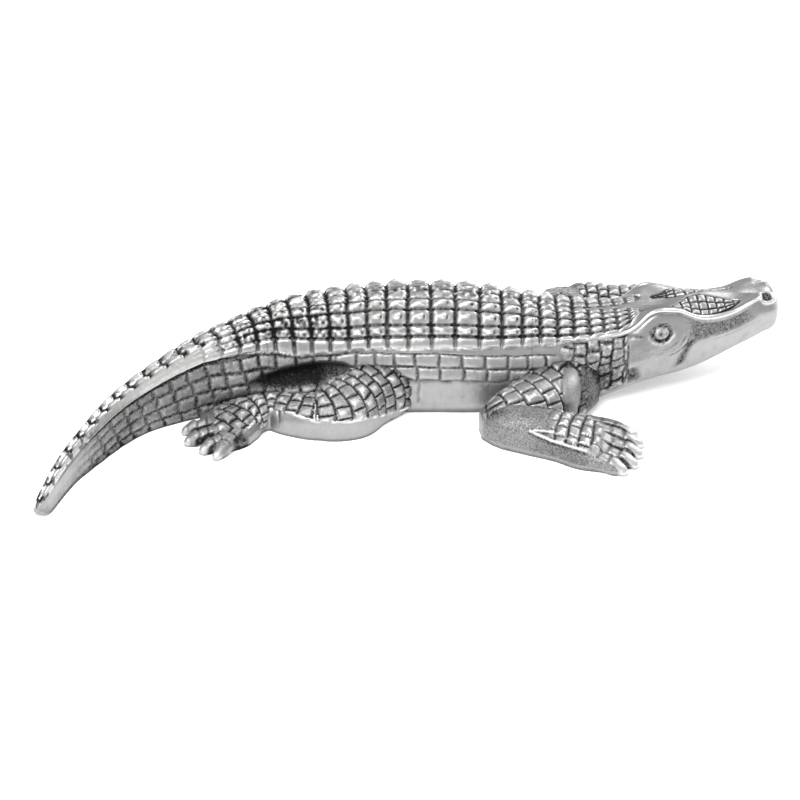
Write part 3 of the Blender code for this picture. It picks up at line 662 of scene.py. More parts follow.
def head_relief(grid, per_line):
    """The neck's side scales, the ridge over the eye, the leaves on the snout, its stipple and the mouth."""
    x, line = grid.x, grid.line
    waver, sway = warped(grid.points, 3.5, 81)
    crisp = ease(noise(grid.points, 1.4, 83), -0.9, 0.1)
    patchy = noise(grid.points, 1.7, 85)
    relief = plain_relief()
    at, lines, rises = zip(*RIDGE)
    away = (line - smooth(x, at, lines)) * per_line
    rise = smooth(x, at, rises) * between(x, 50, 60, 140, 143.5)
    carve(relief, groove(away, RIDGE_WIDTH), lift=rise)
    # A painted highlight, partly polish, runs along the ridge's crest.
    carve(relief, groove(away, 0.55) * ease(rise, 0.2, 0.6), shine=1.3 * (0.35 + 0.65 * crisp))
    # Under the brow the face falls back, so the ridge overhangs the eye.
    carve(relief, groove(away - 1.9, 0.9) * between(x, 90, 95, 106, 112), lift=-0.45)
    neck = ease(x, 60, 64) * ease(x + 0.5 * (line - 6), NECK_END + 1, NECK_END)
    neck = neck * ease(away, 1.0, 1.6) * ease(line, 8.5, 8.2)
    lean = (x - 66) / NECK_SCALE + 0.1 * (line - NECK_LINE) + 0.2 * waver
    low = (line - NECK_LINE) / NECK_ROW + 0.4 * np.floor(lean) + 0.24 * sway
    flat, gap = plates(lean, low, NECK_SCALE, NECK_ROW * per_line, 0.32, 21, 0.6, 0.34)
    spots = gap * (0.5 + 0.35 * patchy) + 0.16 * ease(patchy, -0.1, 0.4)
    carve(relief, neck, lift=flat + 0.2 * patchy, dark=spots, rough=0.95)
    snout_leaves(relief, x, line, per_line, waver, sway)
    stipple = between(x, 107, 113, 132, 139) * ease(away, 1.6, 2.6) * ease(line, 6.3, 5.6)
    carve(relief, stipple, lift=-0.15, dark=0.28, rough=1.15)
    # Painted shadow: a dark line runs under the ridge.
    carve(relief, groove(away - 1.3, 0.4) * between(x, 103, 108, 136, 140), dark=0.4 * (1.2 - crisp))
    mouth = groove((line - 6.85) * per_line, 0.3) * between(x, 112, 122, 136, 143)
    carve(relief, mouth, lift=-0.15, dark=0.12)
    corner = groove(x - 107.9 + 2.9 * (line - 6.7), 2.0) * between(line, 5.6, 6.1, 7.5, 7.9)
    carve(relief, corner, lift=-0.35, dark=0.6, rough=0.9)
    fold = groove(x - NECK_END - 1 + 0.5 * (line - 6), 0.5) * between(line, 4.6, 5.2, 7.6, 8.4)
    carve(relief, fold, lift=-0.45, dark=0.75)
    cheek = between(x, NECK_END + 1, NECK_END + 3, 101, 106) * between(line, 5.0, 5.6, 7.0, 7.8)
    carve(relief, cheek, rough=0.28)
    wedge = ease(x + 1.6 * (7.6 - line), NECK_END + 7, NECK_END + 3) * between(line, 6.9, 7.2, 8.1, 8.5)
    carve(relief, wedge * ease(x, NECK_END + 0.5, NECK_END + 1.2), lift=-0.4, dark=0.75, rough=0.5)
    return relief


def snout_leaves(relief, x, line, per_line, waver, sway):
    """The two leaf-shaped patches of small scales on the top of the snout."""
    share = np.clip((x - LEAF_FROM) / (LEAF_TO - LEAF_FROM), 0, 1)
    middle = np.interp(share, LEAF_MIDDLE_SHARES, LEAF_MIDDLE)
    half = (LEAF_LINES[1] - LEAF_LINES[0]) / 2 * np.interp(share, LEAF_SHARES, LEAF_FULLNESS)
    across = (line - middle) / half
    leaf = ease(np.abs(across), 1.02, 0.96) * (share > 0) * (share < 1)
    flat, gap = plates(
        (x - LEAF_FROM) / LEAF_SCALE + 0.08 * waver, (across + 1) / 2 * LEAF_ROWS + 0.08 * sway,
        LEAF_SCALE, per_line * 2 * half / LEAF_ROWS, 0.5, 31, 0.38, 0.4,
    )
    rim = groove((np.abs(across) - 1) * half * per_line, 0.35) * (share > 0.02) * (share < 0.98)
    carve(relief, leaf, lift=flat, dark=0.9 * gap + 0.35 * ease(share, 0.34, 0.22) + 0.12)
    carve(relief, rim, lift=-0.4, dark=0.75)


def eye_relief(grid):
    """An eyeball in its lids, with wrinkles under it, on both sides of the head."""
    along = grid.x - EYE[0]
    near = (np.abs(grid.out) > 7) & (np.abs(along) < 16) & (grid.line > 2.2) & (grid.line < 8)
    a = along / EYE_RADII[0] + 0.07 * noise(grid.points, 1.8, 91)
    b = (grid.height - EYE[2]) / EYE_RADII[1] + 0.07 * noise(grid.points, 1.8, 92)
    r = np.hypot(a, b)
    patchy = noise(grid.points, 1.3, 93)
    relief = plain_relief()
    ball = np.sqrt(np.clip(1 - (r / BALL) ** 2, 0, 1))
    carve(relief, ball, lift=0.8, dark=0.62 + 0.3 * patchy)
    carve(relief, ease(r, 0.5, LID) * ease(r, 1.0, 0.84), lift=-0.2, dark=0.3 + 0.6 * patchy, rough=1.3)
    carve(relief, ease(r, 1.1, 0.6), lift=0.25)
    carve(relief, groove(r - LID, 0.09), lift=-0.2)
    carve(relief, groove(r - LID, 0.12), dark=0.25)
    carve(relief, r < 0.56, rough=0.75)
    carve(relief, groove(r - 1.0, 0.12) * ease(b, 0.3, -0.3), lift=0.25)
    # Painted highlights: a bright arc on the lower lid and a glint on the eyeball.
    carve(relief, groove(r - 1.0, 0.06) * ease(b, 0.1, -0.4) * ease(patchy, -0.7, 0), shine=0.9)
    carve(relief, groove(np.hypot(a - 0.2, b - 0.14), 0.13), shine=1.1)
    lower = ease(b, 0.1, -0.6) * ease(a, -0.9, 0.5)
    for reach in WRINKLES:
        broken = ease(noise(grid.points, 2.6, int(reach * 20)), -0.5, 0.2)
        carve(relief, groove(r - reach, 0.06) * lower * broken, lift=-0.2, dark=0.55)
    crease = groove(b + 0.3 + 0.12 * a, 0.13) * between(a, -3.2, -2.2, -1.5, -1.1)
    carve(relief, crease, lift=-0.25, dark=0.7)
    return within(relief, near)


def nostril_relief(grid):
    """A crater at each side of the snout's end."""
    relief = plain_relief()
    centre, along, across = spine_frames(np.array([NOSTRIL[0]]))
    for side, share in ((-1, 1.0), (1, 0.45)):
        rel = grid.points - centre[0] - across[0] * side * NOSTRIL[1] - np.array([0, 0, NOSTRIL[2]])
        run = rel @ along[0]
        r = np.sqrt(np.maximum((rel ** 2).sum(axis=-1) - 0.35 * run ** 2, 0))
        facing = (grid.line < 7) * share
        carve(relief, groove(r - NOSTRIL_RADIUS, 0.6) * facing, lift=0.55)
        # A painted highlight rings each crater's rim.
        carve(relief, groove(r - NOSTRIL_RADIUS, 0.45) * facing, shine=0.8)
        carve(relief, ease(r, 2.3, 1.6) * facing, lift=-1.1)
        carve(relief, ease(r, 2.5, 2.0) * facing, dark=0.42, rough=1.0)
    return relief


def press_hollow(points):
    """Pushes the right flank into the hollow over the hind leg: the points, how deep, and where along it."""
    turn, tilt = math.radians(HOLLOW_TURN), math.radians(HOLLOW_TILT)
    rel = points - np.array(HOLLOW_CENTRE)
    level = rel[..., 0] * math.cos(turn) + rel[..., 1] * math.sin(turn)
    deep = -rel[..., 0] * math.sin(turn) + rel[..., 1] * math.cos(turn)
    along = level * math.cos(tilt) + rel[..., 2] * math.sin(tilt)
    rise = rel[..., 2] * math.cos(tilt) - level * math.sin(tilt)
    share = (along / HOLLOW_SIZE[0]) ** 2 + (rise / HOLLOW_SIZE[2]) ** 2
    floor = HOLLOW_SIZE[1] * np.sqrt(np.clip(1 - share, 0, 1)) * 0.9
    push = np.where((share < 1) & (points[..., 1] < -5), np.maximum(floor - deep, 0), 0)
    push = blurred(push, 3)
    moved = points.copy()
    moved[..., 0] -= push * math.sin(turn)
    moved[..., 1] += push * math.cos(turn)
    return moved, push, along


def body_surface():
    """The carved body: its grid of points, with shares of dark patina and painted shade, of polish and
    painted highlight, and of rough grain.
    """
    grid = body_grid()
    points = grid.points
    step = np.linalg.norm(np.roll(points, -1, axis=1) - points, axis=-1)
    per_line = np.clip(step / np.abs(np.roll(grid.line, -1, axis=1) - grid.line), 0.6, 40)
    cells = scute_cells(grid, per_line)
    reliefs = (
        scutes(grid, cells), flank_scales(grid, per_line, cells), head_relief(grid, per_line),
        eye_relief(grid), nostril_relief(grid),
    )
    low_part = ease(grid.line, 8.6, 7.6)
    lift, dark, shine, rough = (
        low_part * sum(relief[key] for relief in reliefs) for key in ("lift", *TONES)
    )
    lift = lift + grain(points, 3) * (0.025 + 0.12 * np.clip(rough + 0.5 * dark, 0, 1.2))
    from_end = np.minimum(grid.loops, grid.loops[-1] - grid.loops)
    fade = np.clip((from_end - 0.6) / 2.5, 0, 1)
    hollowed = 1 - ease(press_hollow(points)[1], 0.0, 1.5)
    lift = lift * fade[:, None] * (0.1 + 0.9 * hollowed)
    cavity = blurred(lift, 2) - lift
    grainy = 1 + 0.45 * noise(points, 0.8, 6)
    # Patina darkens the small hollows, painted shade is added near the limbs' joints, and high rounded
    # places get a painted highlight.
    dark = np.clip((0.8 * dark + 0.75 * cavity + shaded(points) * low_part) * grainy, 0, 1)
    shine = np.clip(shine - 2.0 * np.minimum(cavity, 0) - 0.1, 0, 1.2)
    points, push, along = press_hollow(points + grid_normals(points) * lift[..., None])
    inner = ease(push, 0.1, 3.2) * (1 - 0.5 * ease(along, 8, 13))
    dark = np.clip(dark * (1 - inner) + inner * (0.86 + 0.14 * noise(points, 1.1, 7)), 0, 1)
    rough = np.clip(rough + inner, 0, 1.2)
    # Painted shade: the lowest strip of the body, where it rounds under to the ground, is darkened.
    rim = between(points[..., 2], -0.3, 0.1, 0.2, 2.4) * (grid.line > 7)
    dark = np.clip(dark + 0.6 * rim, 0, 1)
    points[..., 2] = np.maximum(points[..., 2], 0)
    return grid, points, dark, shine * (1 - dark), rough


def limb_frames(sections):
    """The limb's centre line in fine steps: centres, directions along and across, sizes and run."""
    sections = np.array(sections, float)
    knots = np.concatenate([[0], np.cumsum(np.linalg.norm(np.diff(sections[:, :3], axis=0), axis=1))])
    run = np.linspace(0, knots[-1], int(knots[-1] / LIMB_STEP) + 1)
    rows = smooth(run, knots, sections)
    along = np.gradient(rows[:, :2], axis=0)
    along /= np.linalg.norm(along, axis=1, keepdims=True)
    along = np.column_stack([along, np.zeros(len(rows))])
    across = np.column_stack([-along[:, 1], along[:, 0], np.zeros(len(rows))])
    return rows[:, :3], along, across, rows[:, 3], rows[:, 4], run


def lofted(loops):
    """Points and faces of a closed loft through loops of equally many points."""
    count, sides = loops.shape[:2]
    faces = [face[:1] + face[:0:-1] for face in grid_faces(count, sides)]
    faces.append(list(range(sides))[::-1])
    faces.append(list(range((count - 1) * sides, count * sides)))
    return loops.reshape(-1, 3), faces


def limb_form(sections):
    """A leg's loft: oval where it is high, and standing on upright walls where it is low."""
    centre, _, across, half_width, half_height, _ = limb_frames(sections)
    turn = np.linspace(0, 2 * math.pi, LIMB_SIDES, endpoint=False)[None]
    skirt = 1 - ease(centre[:, 2:], *SKIRT_HEIGHTS)
    floor = FLOOR - centre[:, 2:]
    out = np.cos(turn) * np.ones_like(floor)
    rise = half_height[:, None] * np.sin(turn)
    low = rise < 0
    out = np.where(low, out + skirt * (np.where(out < 0, -1, 1) - out) * np.abs(out) ** 0.3, out)
    rise = np.where(low, rise + skirt * (floor - rise), rise)
    rise = np.maximum(rise, floor)
    loops = centre[:, None] + across[:, None] * (out * half_width[:, None])[..., None]
    loops[..., 2] += rise
    return lofted(loops)


def toe_form(root, tip):
    """A toe with a raised knuckle, and a claw that comes out of its end and bends to the ground."""
    start = np.array([root[0], root[1], root[2] * 0.9])
    end = np.array([tip[0], tip[1], 0.7])
    length = np.linalg.norm(end - start)
    along = (end - start) / length
    across = np.array([-along[1], along[0], 0]) / math.hypot(along[0], along[1])
    places = (-TOE_BACK / length, *TOE_SHARES)
    fine = np.linspace(places[0], 1, TOE_LOOPS)
    size = root[2] * np.interp(fine, places, (TOE_ROOT[0], *TOE_SIZES))
    centre = start + (end - start) * fine[:, None]
    centre[:, 2] += np.interp(fine, places, (TOE_ROOT[1], *TOE_RISES))
    turn = np.linspace(0, 2 * math.pi, TOE_SIDES, endpoint=False)
    loops = centre[:, None] + (across[None, None] * np.cos(turn)[None, :, None]) * size[:, None, None]
    loops[..., 2] += size[:, None] * np.sin(turn)[None]
    return lofted(loops)


def fused(forms):
    """One closed skin round overlapping forms, as points and four-sided faces."""
    points, faces, base = [], [], 0
    for form_points, form_faces in forms:
        points.append(form_points)
        faces += [[index + base for index in face] for face in form_faces]
        base += len(form_points)
    data = bpy.data.meshes.new("forms")
    data.from_pydata(np.concatenate(points).tolist(), [], faces)
    source = placed("forms", data)
    remesh = source.modifiers.new("skin", "REMESH")
    remesh.mode = "VOXEL"
    remesh.voxel_size = VOXEL
    skin = source.evaluated_get(bpy.context.evaluated_depsgraph_get()).to_mesh()
    found = np.empty(len(skin.vertices) * 3)
    skin.vertices.foreach_get("co", found)
    quads = np.empty(len(skin.polygons) * 4, np.int64)
    skin.polygons.foreach_get("vertices", quads)
    bpy.data.objects.remove(source)
    bpy.data.meshes.remove(data)
    return found.reshape(-1, 3), quads.reshape(-1, 4)


def spread(values, quads, times):
    """The values, each averaged with its neighbours' this many times."""
    starts = quads.ravel()
    ends = np.roll(quads, -1, axis=1).ravel()
    size = len(values)
    count = np.bincount(starts, minlength=size) + np.bincount(ends, minlength=size)
    for _ in range(times):
        middle = np.bincount(starts, values[ends], size) + np.bincount(ends, values[starts], size)
        values = 0.4 * values + 0.6 * middle / count
    return values


def skin_normals(points, quads):
    """Unit normals of a skin of quads, pointing outwards."""
    a, b, c, d = (points[quads[:, k]] for k in range(4))
    faces = np.cross(c - a, d - b)
    normals = np.stack([
        sum(np.bincount(quads[:, k], faces[:, axis], len(points)) for k in range(4)) for axis in range(3)
    ], axis=1)
    return normals / (np.linalg.norm(normals, axis=1, keepdims=True) + 1e-9)


def limb_places(points, limbs):
    """For each point the limb that it lies on, its place along it, the turn round it, the limb's half
    width there, and the distance to the limb's end."""
    found = []
    for number, sections in enumerate(limbs):
        centre, along, across, half_width, half_height, run = limb_frames(sections)
        flat = points[:, None] - centre[None]
        index = np.einsum("ijk,ijk->ij", flat, flat).argmin(axis=1)
        rest = points - centre[index]
        distance = np.linalg.norm(rest, axis=1) / half_width[index]
        out = np.einsum("ij,ij->i", rest, across[index]) / half_width[index]
        place = run[index] + np.einsum("ij,ij->i", rest, along[index])
        turn = np.arctan2(rest[:, 2] / half_height[index], out)
        girth = (half_width[index] + half_height[index]) / 2
        found.append([distance, np.full(len(points), number), place, turn, girth, run[-1] - place])
    found = np.array(found)
    closest = found[:, 0].argmin(axis=0)
    return found[closest, 1:, np.arange(len(points))].T


def nearness(points, tree, reach):
    """Signed distance of each point from a surface, negative inside, and this far where it is further."""
    found = np.full(len(points), float(reach))
    for number, point in enumerate(points):
        place, normal, _, distance = tree.find_nearest(Vector(point), reach * 3)
        if place is not None:
            found[number] = distance if (Vector(point) - place).dot(normal) > 0 else -distance
    return found


def seen_from_front(points):
    """Where each point lies in the photograph's view: millimetres across, and millimetres up."""
    lift = math.radians(CAMERA_ELEVATION)
    return points[:, 0], math.sin(lift) * points[:, 1] + math.cos(lift) * points[:, 2]


def beside(points, path):
    """Each point's distance from a path in the photograph's view, positive above it, and share of it."""
    across, up = seen_from_front(points)
    best = np.full(len(points), 1e9)
    share = np.zeros(len(points))
    signed = np.zeros(len(points))
    path = np.array(path, float)
    for number, (start, end) in enumerate(zip(path, path[1:])):
        step = end - start
        raw = ((across - start[0]) * step[0] + (up - start[1]) * step[1]) / (step @ step)
        t = np.clip(raw, 0, 1)
        dx, dy = across - start[0] - t * step[0], up - start[1] - t * step[1]
        distance = np.hypot(dx, dy)
        side = np.where(step[0] * dy - step[1] * dx > 0, 1, -1) * np.sign(path[-1, 0] - path[0, 0])
        closer = distance < best
        best = np.where(closer, distance, best)
        signed = np.where(closer, side * distance, signed)
        share = np.where(closer, (number + raw) / (len(path) - 1), share)
    return signed, share


def shaded(points):
    """How much painted shade, made grainy later, lies on the casting near the places where limbs leave the
    body.
    """
    across, up = seen_from_front(points.reshape(-1, 3))
    total = sum(
        share * np.exp(-((across - at) ** 2 + (up - height) ** 2) / radius ** 2)
        for at, height, radius, share in SHADED_PLACES
    )
    return total.reshape(points.shape[:-1])


def scaled_skin(points, limb, long, wide, depth, seed):
    """Scales in rows along and round a limb: how far they stand off, their grooves, and their lumps."""
    waver, sway = warped(points, 4.5, seed)
    count = max(round(math.pi * float(np.median(limb.girth)) / wide), 3)
    a = limb.along / long + 0.09 * waver
    b = limb.turn / math.pi * count + 0.5 * np.floor(a) + 0.09 * sway
    flat, gap = plates(a, b, long, math.pi * limb.girth / count, depth, seed, 0.5, 0.6)
    lump = groove(np.hypot((a % 1 - 0.55) * long, (b % 1 - 0.5) * wide), 1.0)
    lump = lump * (hashed(np.floor(a), np.floor(b), seed) > 0.4)
    return flat + 0.45 * lump, gap, lump


def upper_or_lower(limb, upper, lower, on_lift, on_dark, on_shine, rough):
    """A relief of one skin of scales on the upper limb and another on the lower, in these shares."""
    flat, gap, lump = (np.where(limb.upper, *pair) for pair in zip(upper, lower))
    # The lumps on the scales get polish with painted highlight; the grooves get patina.
    return {"lift": flat * on_lift, "dark": gap * on_dark, "shine": lump * on_shine, "rough": rough}


def toe_carving(points, toes):
    """Folds on the toes and dark gaps between them: lift, dark, where the toes are, and how far along."""
    best = np.full(len(points), 1e9)
    second = best
    share = np.zeros(len(points))
    for root, tip in toes:
        start, end = np.array(root[:2], float), np.array(tip, float)
        run = end - start
        t = np.clip((points[:, :2] - start) @ run / (run @ run), -0.5, 1)
        distance = np.linalg.norm(points[:, :2] - start - t[:, None] * run, axis=1)
        share = np.where(distance < best, t, share)
        second = np.minimum(second, np.maximum(best, distance))
        best = np.minimum(best, distance)
    on_toe = ease(best, 3.1, 2.3) * ease(share, -0.35, -0.15)
    folds = on_toe * sum(groove(share - place, 0.05) for place in TOE_FOLDS)
    gaps = ease(best, 1.9, 3.0) * ease(share, -0.3, 0.05) * ease(second - best, 3.2, 1.8)
    return -0.35 * folds - 0.5 * gaps, 0.5 * folds + 1.25 * gaps, on_toe, share


def near_fore_carving(points, limb):
    """The right foreleg: big plates on the upper arm, a smooth knob, a stippled side and a scaled hand."""
    arm, hand = limb.upper, ~limb.upper
    ridge, share = beside(points, FOREARM_RIDGE)
    second, _ = beside(points, FOREARM_FOLD)
    above = ease(ridge, 0.2, 0.9)
    wrist = ease(points[:, 0], 54, 62)
    top = ease(points[:, 2], 2.2, 4.0)
    knob = np.linalg.norm((points - np.array(SHOULDER_KNOB)) / np.array(KNOB_SIZE), axis=1)
    plain = ease(knob, 0.9, 1.25)
    pit = ease(points[:, 0], 67.5, 71.5) * ease(np.abs(points[:, 1]), 60, 20)
    patchy = noise(points, 1.6, 155)
    on_hand = above * wrist
    relief = upper_or_lower(
        limb, scaled_skin(points, limb, 7.0, 6.4, 0.6, 141), scaled_skin(points, limb, 4.6, 4.2, 0.5, 151),
        top * np.where(arm, plain * (1 - pit), on_hand),
        top * np.where(arm, plain * (1 - 0.85 * pit), on_hand),
        0.8 * np.where(arm, plain, on_hand), 0.35,
    )
    # Painted shade, with grain, in the pit where the upper arm meets the body.
    carve(relief, arm * pit, dark=0.5 + 0.35 * patchy, rough=0.7)
    carve(relief, arm * ease(knob, 1.1, 0.4), lift=0.4)
    carve(relief, arm * groove(knob - 1.1, 0.12), lift=-0.3)
    # A painted highlight on the middle of the knob.
    carve(relief, arm * ease(knob, 0.8, 0.3), shine=0.35)
    carve(relief, arm * groove(knob - 1.12, 0.13), dark=0.45)
    carve(relief, arm * ease(knob, 1.1, 0.9), dark=0.08)
    on_ridge = (share > -0.02) * (share < 1.02) * hand
    # Each line on the forearm gets a raised crest, a painted highlight along it and a painted shadow just
    # below it.
    for away, rise, width, bright, bright_width, shade in (
        (ridge, 0.65, 0.7, 1.2, 0.55, 0.6), (second, 0.4, 0.6, 0.8, 0.4, 0.45),
    ):
        carve(relief, on_ridge * groove(away, width), lift=rise)
        carve(relief, on_ridge * groove(away, bright_width), shine=bright)
        carve(relief, on_ridge * groove(away + 1.0, 0.5), dark=shade)
    side = hand * (1 - above) * ease(points[:, 2], 1.6, 2.8)
    carve(relief, side, dark=0.3 * ease(points[:, 0], 48, 56), rough=0.75)
    carve(relief, hand * above * (1 - wrist), dark=0.12 + 0.2 * patchy, rough=0.8)
    return relief


def near_hind_carving(points, limb):
    """The right hind leg: rows of scales on top, a smooth polished side, and folds behind the knee."""
    edge, share = beside(points, THIGH_EDGE)
    above = np.where((share > -0.1) & (share < 1.1), ease(edge, 0.0, 0.8), 1)
    ridge, ridge_share = beside(points, SHIN_RIDGE)
    on_ridge = (ridge_share > -0.02) & (ridge_share < 1.02)
    above = np.where(on_ridge, ease(ridge, 0, 0.8), above)
    on_edge = (share > 0) * (share < 1)
    broken = ease(noise(points, 1.6, 173), -0.4, 0.3)
    on_top = above * ease(points[:, 2], 1.8, 3.4)
    relief = upper_or_lower(
        limb, scaled_skin(points, limb, 4.8, 4.4, 0.6, 161), scaled_skin(points, limb, 5.4, 5.0, 0.55, 171),
        on_top, on_top, 0.8 * above, 0.15 + 0.6 * above,
    )
    # The thigh's edge and the shin's ridge get painted highlights, and a painted shadow runs beside the
    # ridge.
    carve(relief, on_edge * groove(edge, 0.7), lift=0.45)
    carve(relief, on_edge * groove(edge, 0.5), shine=broken)
    carve(relief, on_ridge * groove(ridge, 0.7), lift=0.6)
    carve(relief, on_ridge * groove(ridge, 0.55), shine=1.2 * broken)
    carve(relief, on_ridge * groove(ridge - 1.2, 0.6), dark=0.6)
    folds = sum(groove(points[:, 0] - place, 0.45) for place in KNEE_FOLDS)
    under = between(edge, -5.0, -3.0, 0.5, 2.5) * ease(points[:, 2], 2.5, 4)
    carve(relief, folds * under, lift=-0.5, dark=0.75)
    return relief


def far_leg_carving(points, limb):
    """A far leg: plain rows of scales on its upper part and its foot."""
    top = ease(points[:, 2], 2.0, 3.6)
    return upper_or_lower(
        limb, scaled_skin(points, limb, 6.0, 5.4, 0.55, 181), scaled_skin(points, limb, 4.6, 4.4, 0.5, 191),
        top, top, 0.6 * top, 0.6,
    )


def leg_pieces(material, body_tree):
    """The four legs, each a skin of its own that runs into the body."""
    for leg in ("near_fore", "near_hind", "far_fore", "far_hind"):
        limbs = [LEGS[key] for key in LEGS if key.startswith(leg)]
        palm = limbs[1][:-3 if leg == "near_fore" else -2] + PALM_ENDS[leg]
        forms = [limb_form(limbs[0]), limb_form(palm)] + [toe_form(*toe) for toe in TOES[leg]]
        points, quads = fused(forms)
        points = np.stack([spread(points[:, axis], quads, RELAXINGS) for axis in range(3)], axis=1)
        normals = skin_normals(points, quads)
        gap = nearness(points, body_tree, FILLET)
        near = np.clip(1 - np.abs(gap) / FILLET, 0, 1)
        points = points + normals * (near ** 2 * FILLET / 4)[:, None] * (points[:, 2:] > 2)
        which, along, turn, girth, to_end = limb_places(points, limbs)
        limb = SimpleNamespace(upper=which == 0, along=along, turn=turn, girth=girth)
        carving = {"near_fore": near_fore_carving, "near_hind": near_hind_carving}.get(leg, far_leg_carving)
        relief = carving(points, limb)
        toe_lift, toe_dark, on_toe, share = toe_carving(points, TOES[leg])
        beyond = ease(share, -0.35, -0.1)
        scaled = ease(to_end, 0.5, 3.5) * (1 - beyond)
        # The toes brighten towards their claws: polish with painted highlight.
        bright = 0.1 + 0.8 * ease(share, CLAW_SHARES[leg] - 0.2, CLAW_SHARES[leg])
        lift = relief["lift"] * scaled + toe_lift
        dark = relief["dark"] * scaled + toe_dark * beyond
        shine = relief["shine"] * scaled + on_toe * beyond * bright
        rough = relief["rough"] * np.ones(len(points))
        lift = lift + grain(points, 13) * (0.03 + 0.1 * np.clip(rough + 0.5 * dark, 0, 1.2))
        cavity = spread(lift, quads, 6) - lift
        form = spread(points[:, 2], quads, 12) - points[:, 2]
        grainy = 1 + 0.45 * noise(points, 0.8, 16)
        # Patina darkens the small hollows; painted shade lies in low places between forms, next to the body
        # and near the limbs' joints, and high rounded places get a painted highlight.
        dark = 0.62 * dark + 0.8 * cavity + 0.35 * ease(form, 0.1, 0.6) + 0.55 * groove(gap, 2.2)
        dark = (dark + 0.7 * shaded(points)) * grainy
        shine = np.clip(shine - 2.0 * np.minimum(cavity, 0) - 0.1 + 0.5 * ease(-form, 0.2, 0.6), 0, 1.1)
        points = points + normals * lift[:, None]
        points[:, 2] = np.maximum(points[:, 2], 0)
        # Painted shade: the leg's lowest strip next to the ground is darkened.
        dark = np.clip(dark + 0.5 * ease(points[:, 2], 1.8, 0.2), 0, 1)
        kept = quads[(gap[quads] > -DEEPEST).any(axis=1)]
        used = np.unique(kept)
        order = np.zeros(len(points), int)
        order[used] = np.arange(len(used))
        tones = [tone[used] for tone in (dark, shine * (1 - dark), rough)]
        make_mesh(f"alligator_{leg}_leg", points[used], order[kept].tolist(), None, tones, material)


def make_mesh(name, points, faces, normals, tones, material):
    """A piece of the casting from points in millimetres, with its tones as attributes."""
    data = bpy.data.meshes.new(name)
    places = (np.asarray(points) + BACK_PLACE) * MM
    data.from_pydata(places.tolist(), [], faces)
    for key, values in zip(TONES, tones):
        layer = data.attributes.new(key, "FLOAT", "POINT")
        layer.data.foreach_set("value", np.asarray(values, np.float32).ravel())
    data.polygons.foreach_set("use_smooth", [True] * len(data.polygons))
    data.update()
    if normals is not None:
        data.normals_split_custom_set_from_vertices(np.asarray(normals).tolist())
    data.materials.append(material)
    piece = placed(name, data)
    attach(piece, "root")
    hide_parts(NODE)


def body_pieces(material):
    """The body in three meshes that overlap by one strip of faces, and a coarse tree of its faces."""
    grid, points, dark, shine, rough = body_surface()
    normals = grid_normals(points)
    x = grid.x[:, 0]
    sides = points.shape[1]
    for name, low, high in PIECES:
        first = max(int(np.searchsorted(x, low)) - 1, 0)
        last = min(int(np.searchsorted(x, high)), len(x) - 1)
        rows = slice(first, last + 1)
        faces = grid_faces(last + 1 - first, sides)
        if first == 0:
            faces.append(list(range(sides)))
        if last == len(x) - 1:
            faces.append(list(range((last - first) * sides, (last + 1 - first) * sides))[::-1])
        tones = [tone[rows] for tone in (dark, shine, rough)]
        make_mesh(name, points[rows].reshape(-1, 3), faces, normals[rows].reshape(-1, 3), tones, material)
    coarse = points[::2, ::2]
    return BVHTree.FromPolygons(coarse.reshape(-1, 3).tolist(), grid_faces(*coarse.shape[:2]))


def cast_metal():
    """Polished cast metal with dark, grainy recesses and painted shade, and bright high places and painted
    highlights.
    """
    material = bpy.data.materials.new("polished_cast_metal")
    material.use_nodes = True
    nodes, links = material.node_tree.nodes, material.node_tree.links

    def feed(node, values):
        for key, value in values.items():
            if isinstance(value, bpy.types.NodeSocket):
                links.new(value, node.inputs[key])
            else:
                node.inputs[key].default_value = value

    def made(kind, output, values, **settings):
        node = nodes.new("ShaderNode" + kind)
        for key, value in settings.items():
            setattr(node, key, value)
        feed(node, values)
        return node.outputs[output]

    def texture(scale, detail, low, high):
        values = {"Vector": place, "Scale": scale, "Detail": detail, "Roughness": 0.65}
        speckles = made("TexNoise", "Fac", values)
        return made("MapRange", "Result", {"Value": speckles, "From Min": low, "From Max": high})

    def joined(operation, first, second):
        return made("Math", 0, {0: first, 1: second}, operation=operation)

    def blended(share, first, second):
        return made("Mix", 2, {"Factor": share, 6: first, 7: second}, data_type="RGBA")

    def clamped(value):
        return made("Clamp", 0, {"Value": value})

    place = made("TexCoord", "Object", {})
    dark, shine, rough = (made("Attribute", "Fac", {}, attribute_name=tone) for tone in TONES)
    speckle = texture(1500, 3, 0.4, 0.7)
    mottle = texture(240, 4, 0.35, 0.7)
    spots = joined("MULTIPLY", joined("MULTIPLY", speckle, rough), 0.55)
    patina_and_shade = clamped(joined("ADD", joined("ADD", dark, spots), joined("MULTIPLY", mottle, 0.1)))
    # The plain grey darkens with patina and painted shade, and brightens with polish and painted highlight.
    base = blended(clamped(shine), blended(patina_and_shade, PLAIN_GREY, PATINA_AND_SHADE_GREY), BRIGHT_GREY)
    matt = joined("ADD", joined("MULTIPLY", patina_and_shade, 0.25), joined("MULTIPLY", rough, 0.2))
    worn = joined("SUBTRACT", joined("ADD", matt, 0.36), joined("MULTIPLY", shine, 0.1))
    height = joined("SUBTRACT", joined("MULTIPLY", mottle, 0.4), joined("MULTIPLY", speckle, rough))
    bump = made("Bump", "Normal", {"Strength": 0.35, "Distance": 0.00012, "Height": height})
    feed(nodes["Principled BSDF"], {
        "Metallic": 1.0, "Base Color": base, "Roughness": clamped(worn), "Normal": bump,
    })
    return material


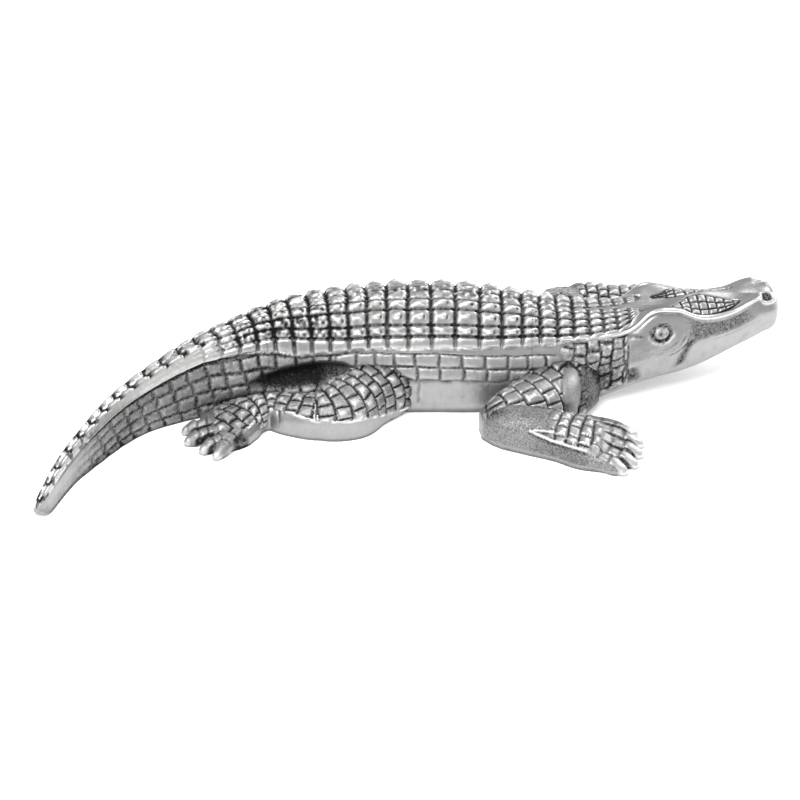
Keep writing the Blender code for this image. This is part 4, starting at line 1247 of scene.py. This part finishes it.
def stage():
    """A pale floor, and soft light from a pale surround and two broad lamps."""
    data = bpy.data.meshes.new("floor")
    corners = ((-1, -1), (1, -1), (1, 1), (-1, 1))
    corners = [(x * FLOOR_REACH, y * FLOOR_REACH, -FLOOR_DROP) for x, y in corners]
    data.from_pydata(corners, [], [(0, 1, 2, 3)])
    floor = placed("floor", data)
    paint = bpy.data.materials.new("pale_floor")
    paint.use_nodes = True
    shader = paint.node_tree.nodes["Principled BSDF"]
    shader.inputs["Base Color"].default_value = (0.93, 0.93, 0.93, 1)
    shader.inputs["Roughness"].default_value = 0.9
    shader.inputs["Specular IOR Level"].default_value = 0.0
    shader.inputs["Emission Color"].default_value = (1, 1, 1, 1)
    shader.inputs["Emission Strength"].default_value = FLOOR_GLOW
    data.materials.append(paint)
    world = bpy.data.worlds.new("studio")
    bpy.context.scene.world = world
    world.use_nodes = True
    back = world.node_tree.nodes["Background"]
    back.inputs["Color"].default_value = (1, 1, 1, 1)
    back.inputs["Strength"].default_value = WORLD_LIGHT
    for name, azimuth, elevation, angle, strength in LAMPS:
        light = bpy.data.lights.new(name, "SUN")
        light.angle = math.radians(angle)
        light.energy = strength
        point_from(placed(name, light), azimuth, elevation)


def point_from(thing, azimuth, elevation):
    """Turns a lamp or a camera to look from this side and height, and gives the direction to it."""
    turn, lift = math.radians(azimuth), math.radians(elevation)
    towards = Vector((math.sin(turn) * math.cos(lift), -math.cos(turn) * math.cos(lift), math.sin(lift)))
    thing.rotation_mode = "QUATERNION"
    thing.rotation_quaternion = towards.to_track_quat("Z", "Y")
    return towards


def photograph():
    """The camera: far off with a long lens, level with the photograph's angle of view."""
    lens = bpy.data.cameras.new("photograph")
    lens.sensor_width = 36
    lens.lens = lens.sensor_width * CAMERA_DISTANCE / FRAME_WIDTH
    lens.clip_end = CAMERA_DISTANCE * 2
    camera = placed("photograph", lens)
    target = Vector((np.array(CAMERA_TARGET) + BACK_PLACE) * MM)
    camera.location = target + point_from(camera, 0, CAMERA_ELEVATION) * CAMERA_DISTANCE
    bpy.context.scene.camera = camera
    bpy.context.scene.view_settings.view_transform = "Standard"
    bpy.context.scene.view_settings.look = "None"


metal = cast_metal()
leg_pieces(metal, body_pieces(metal))
stage()
photograph()
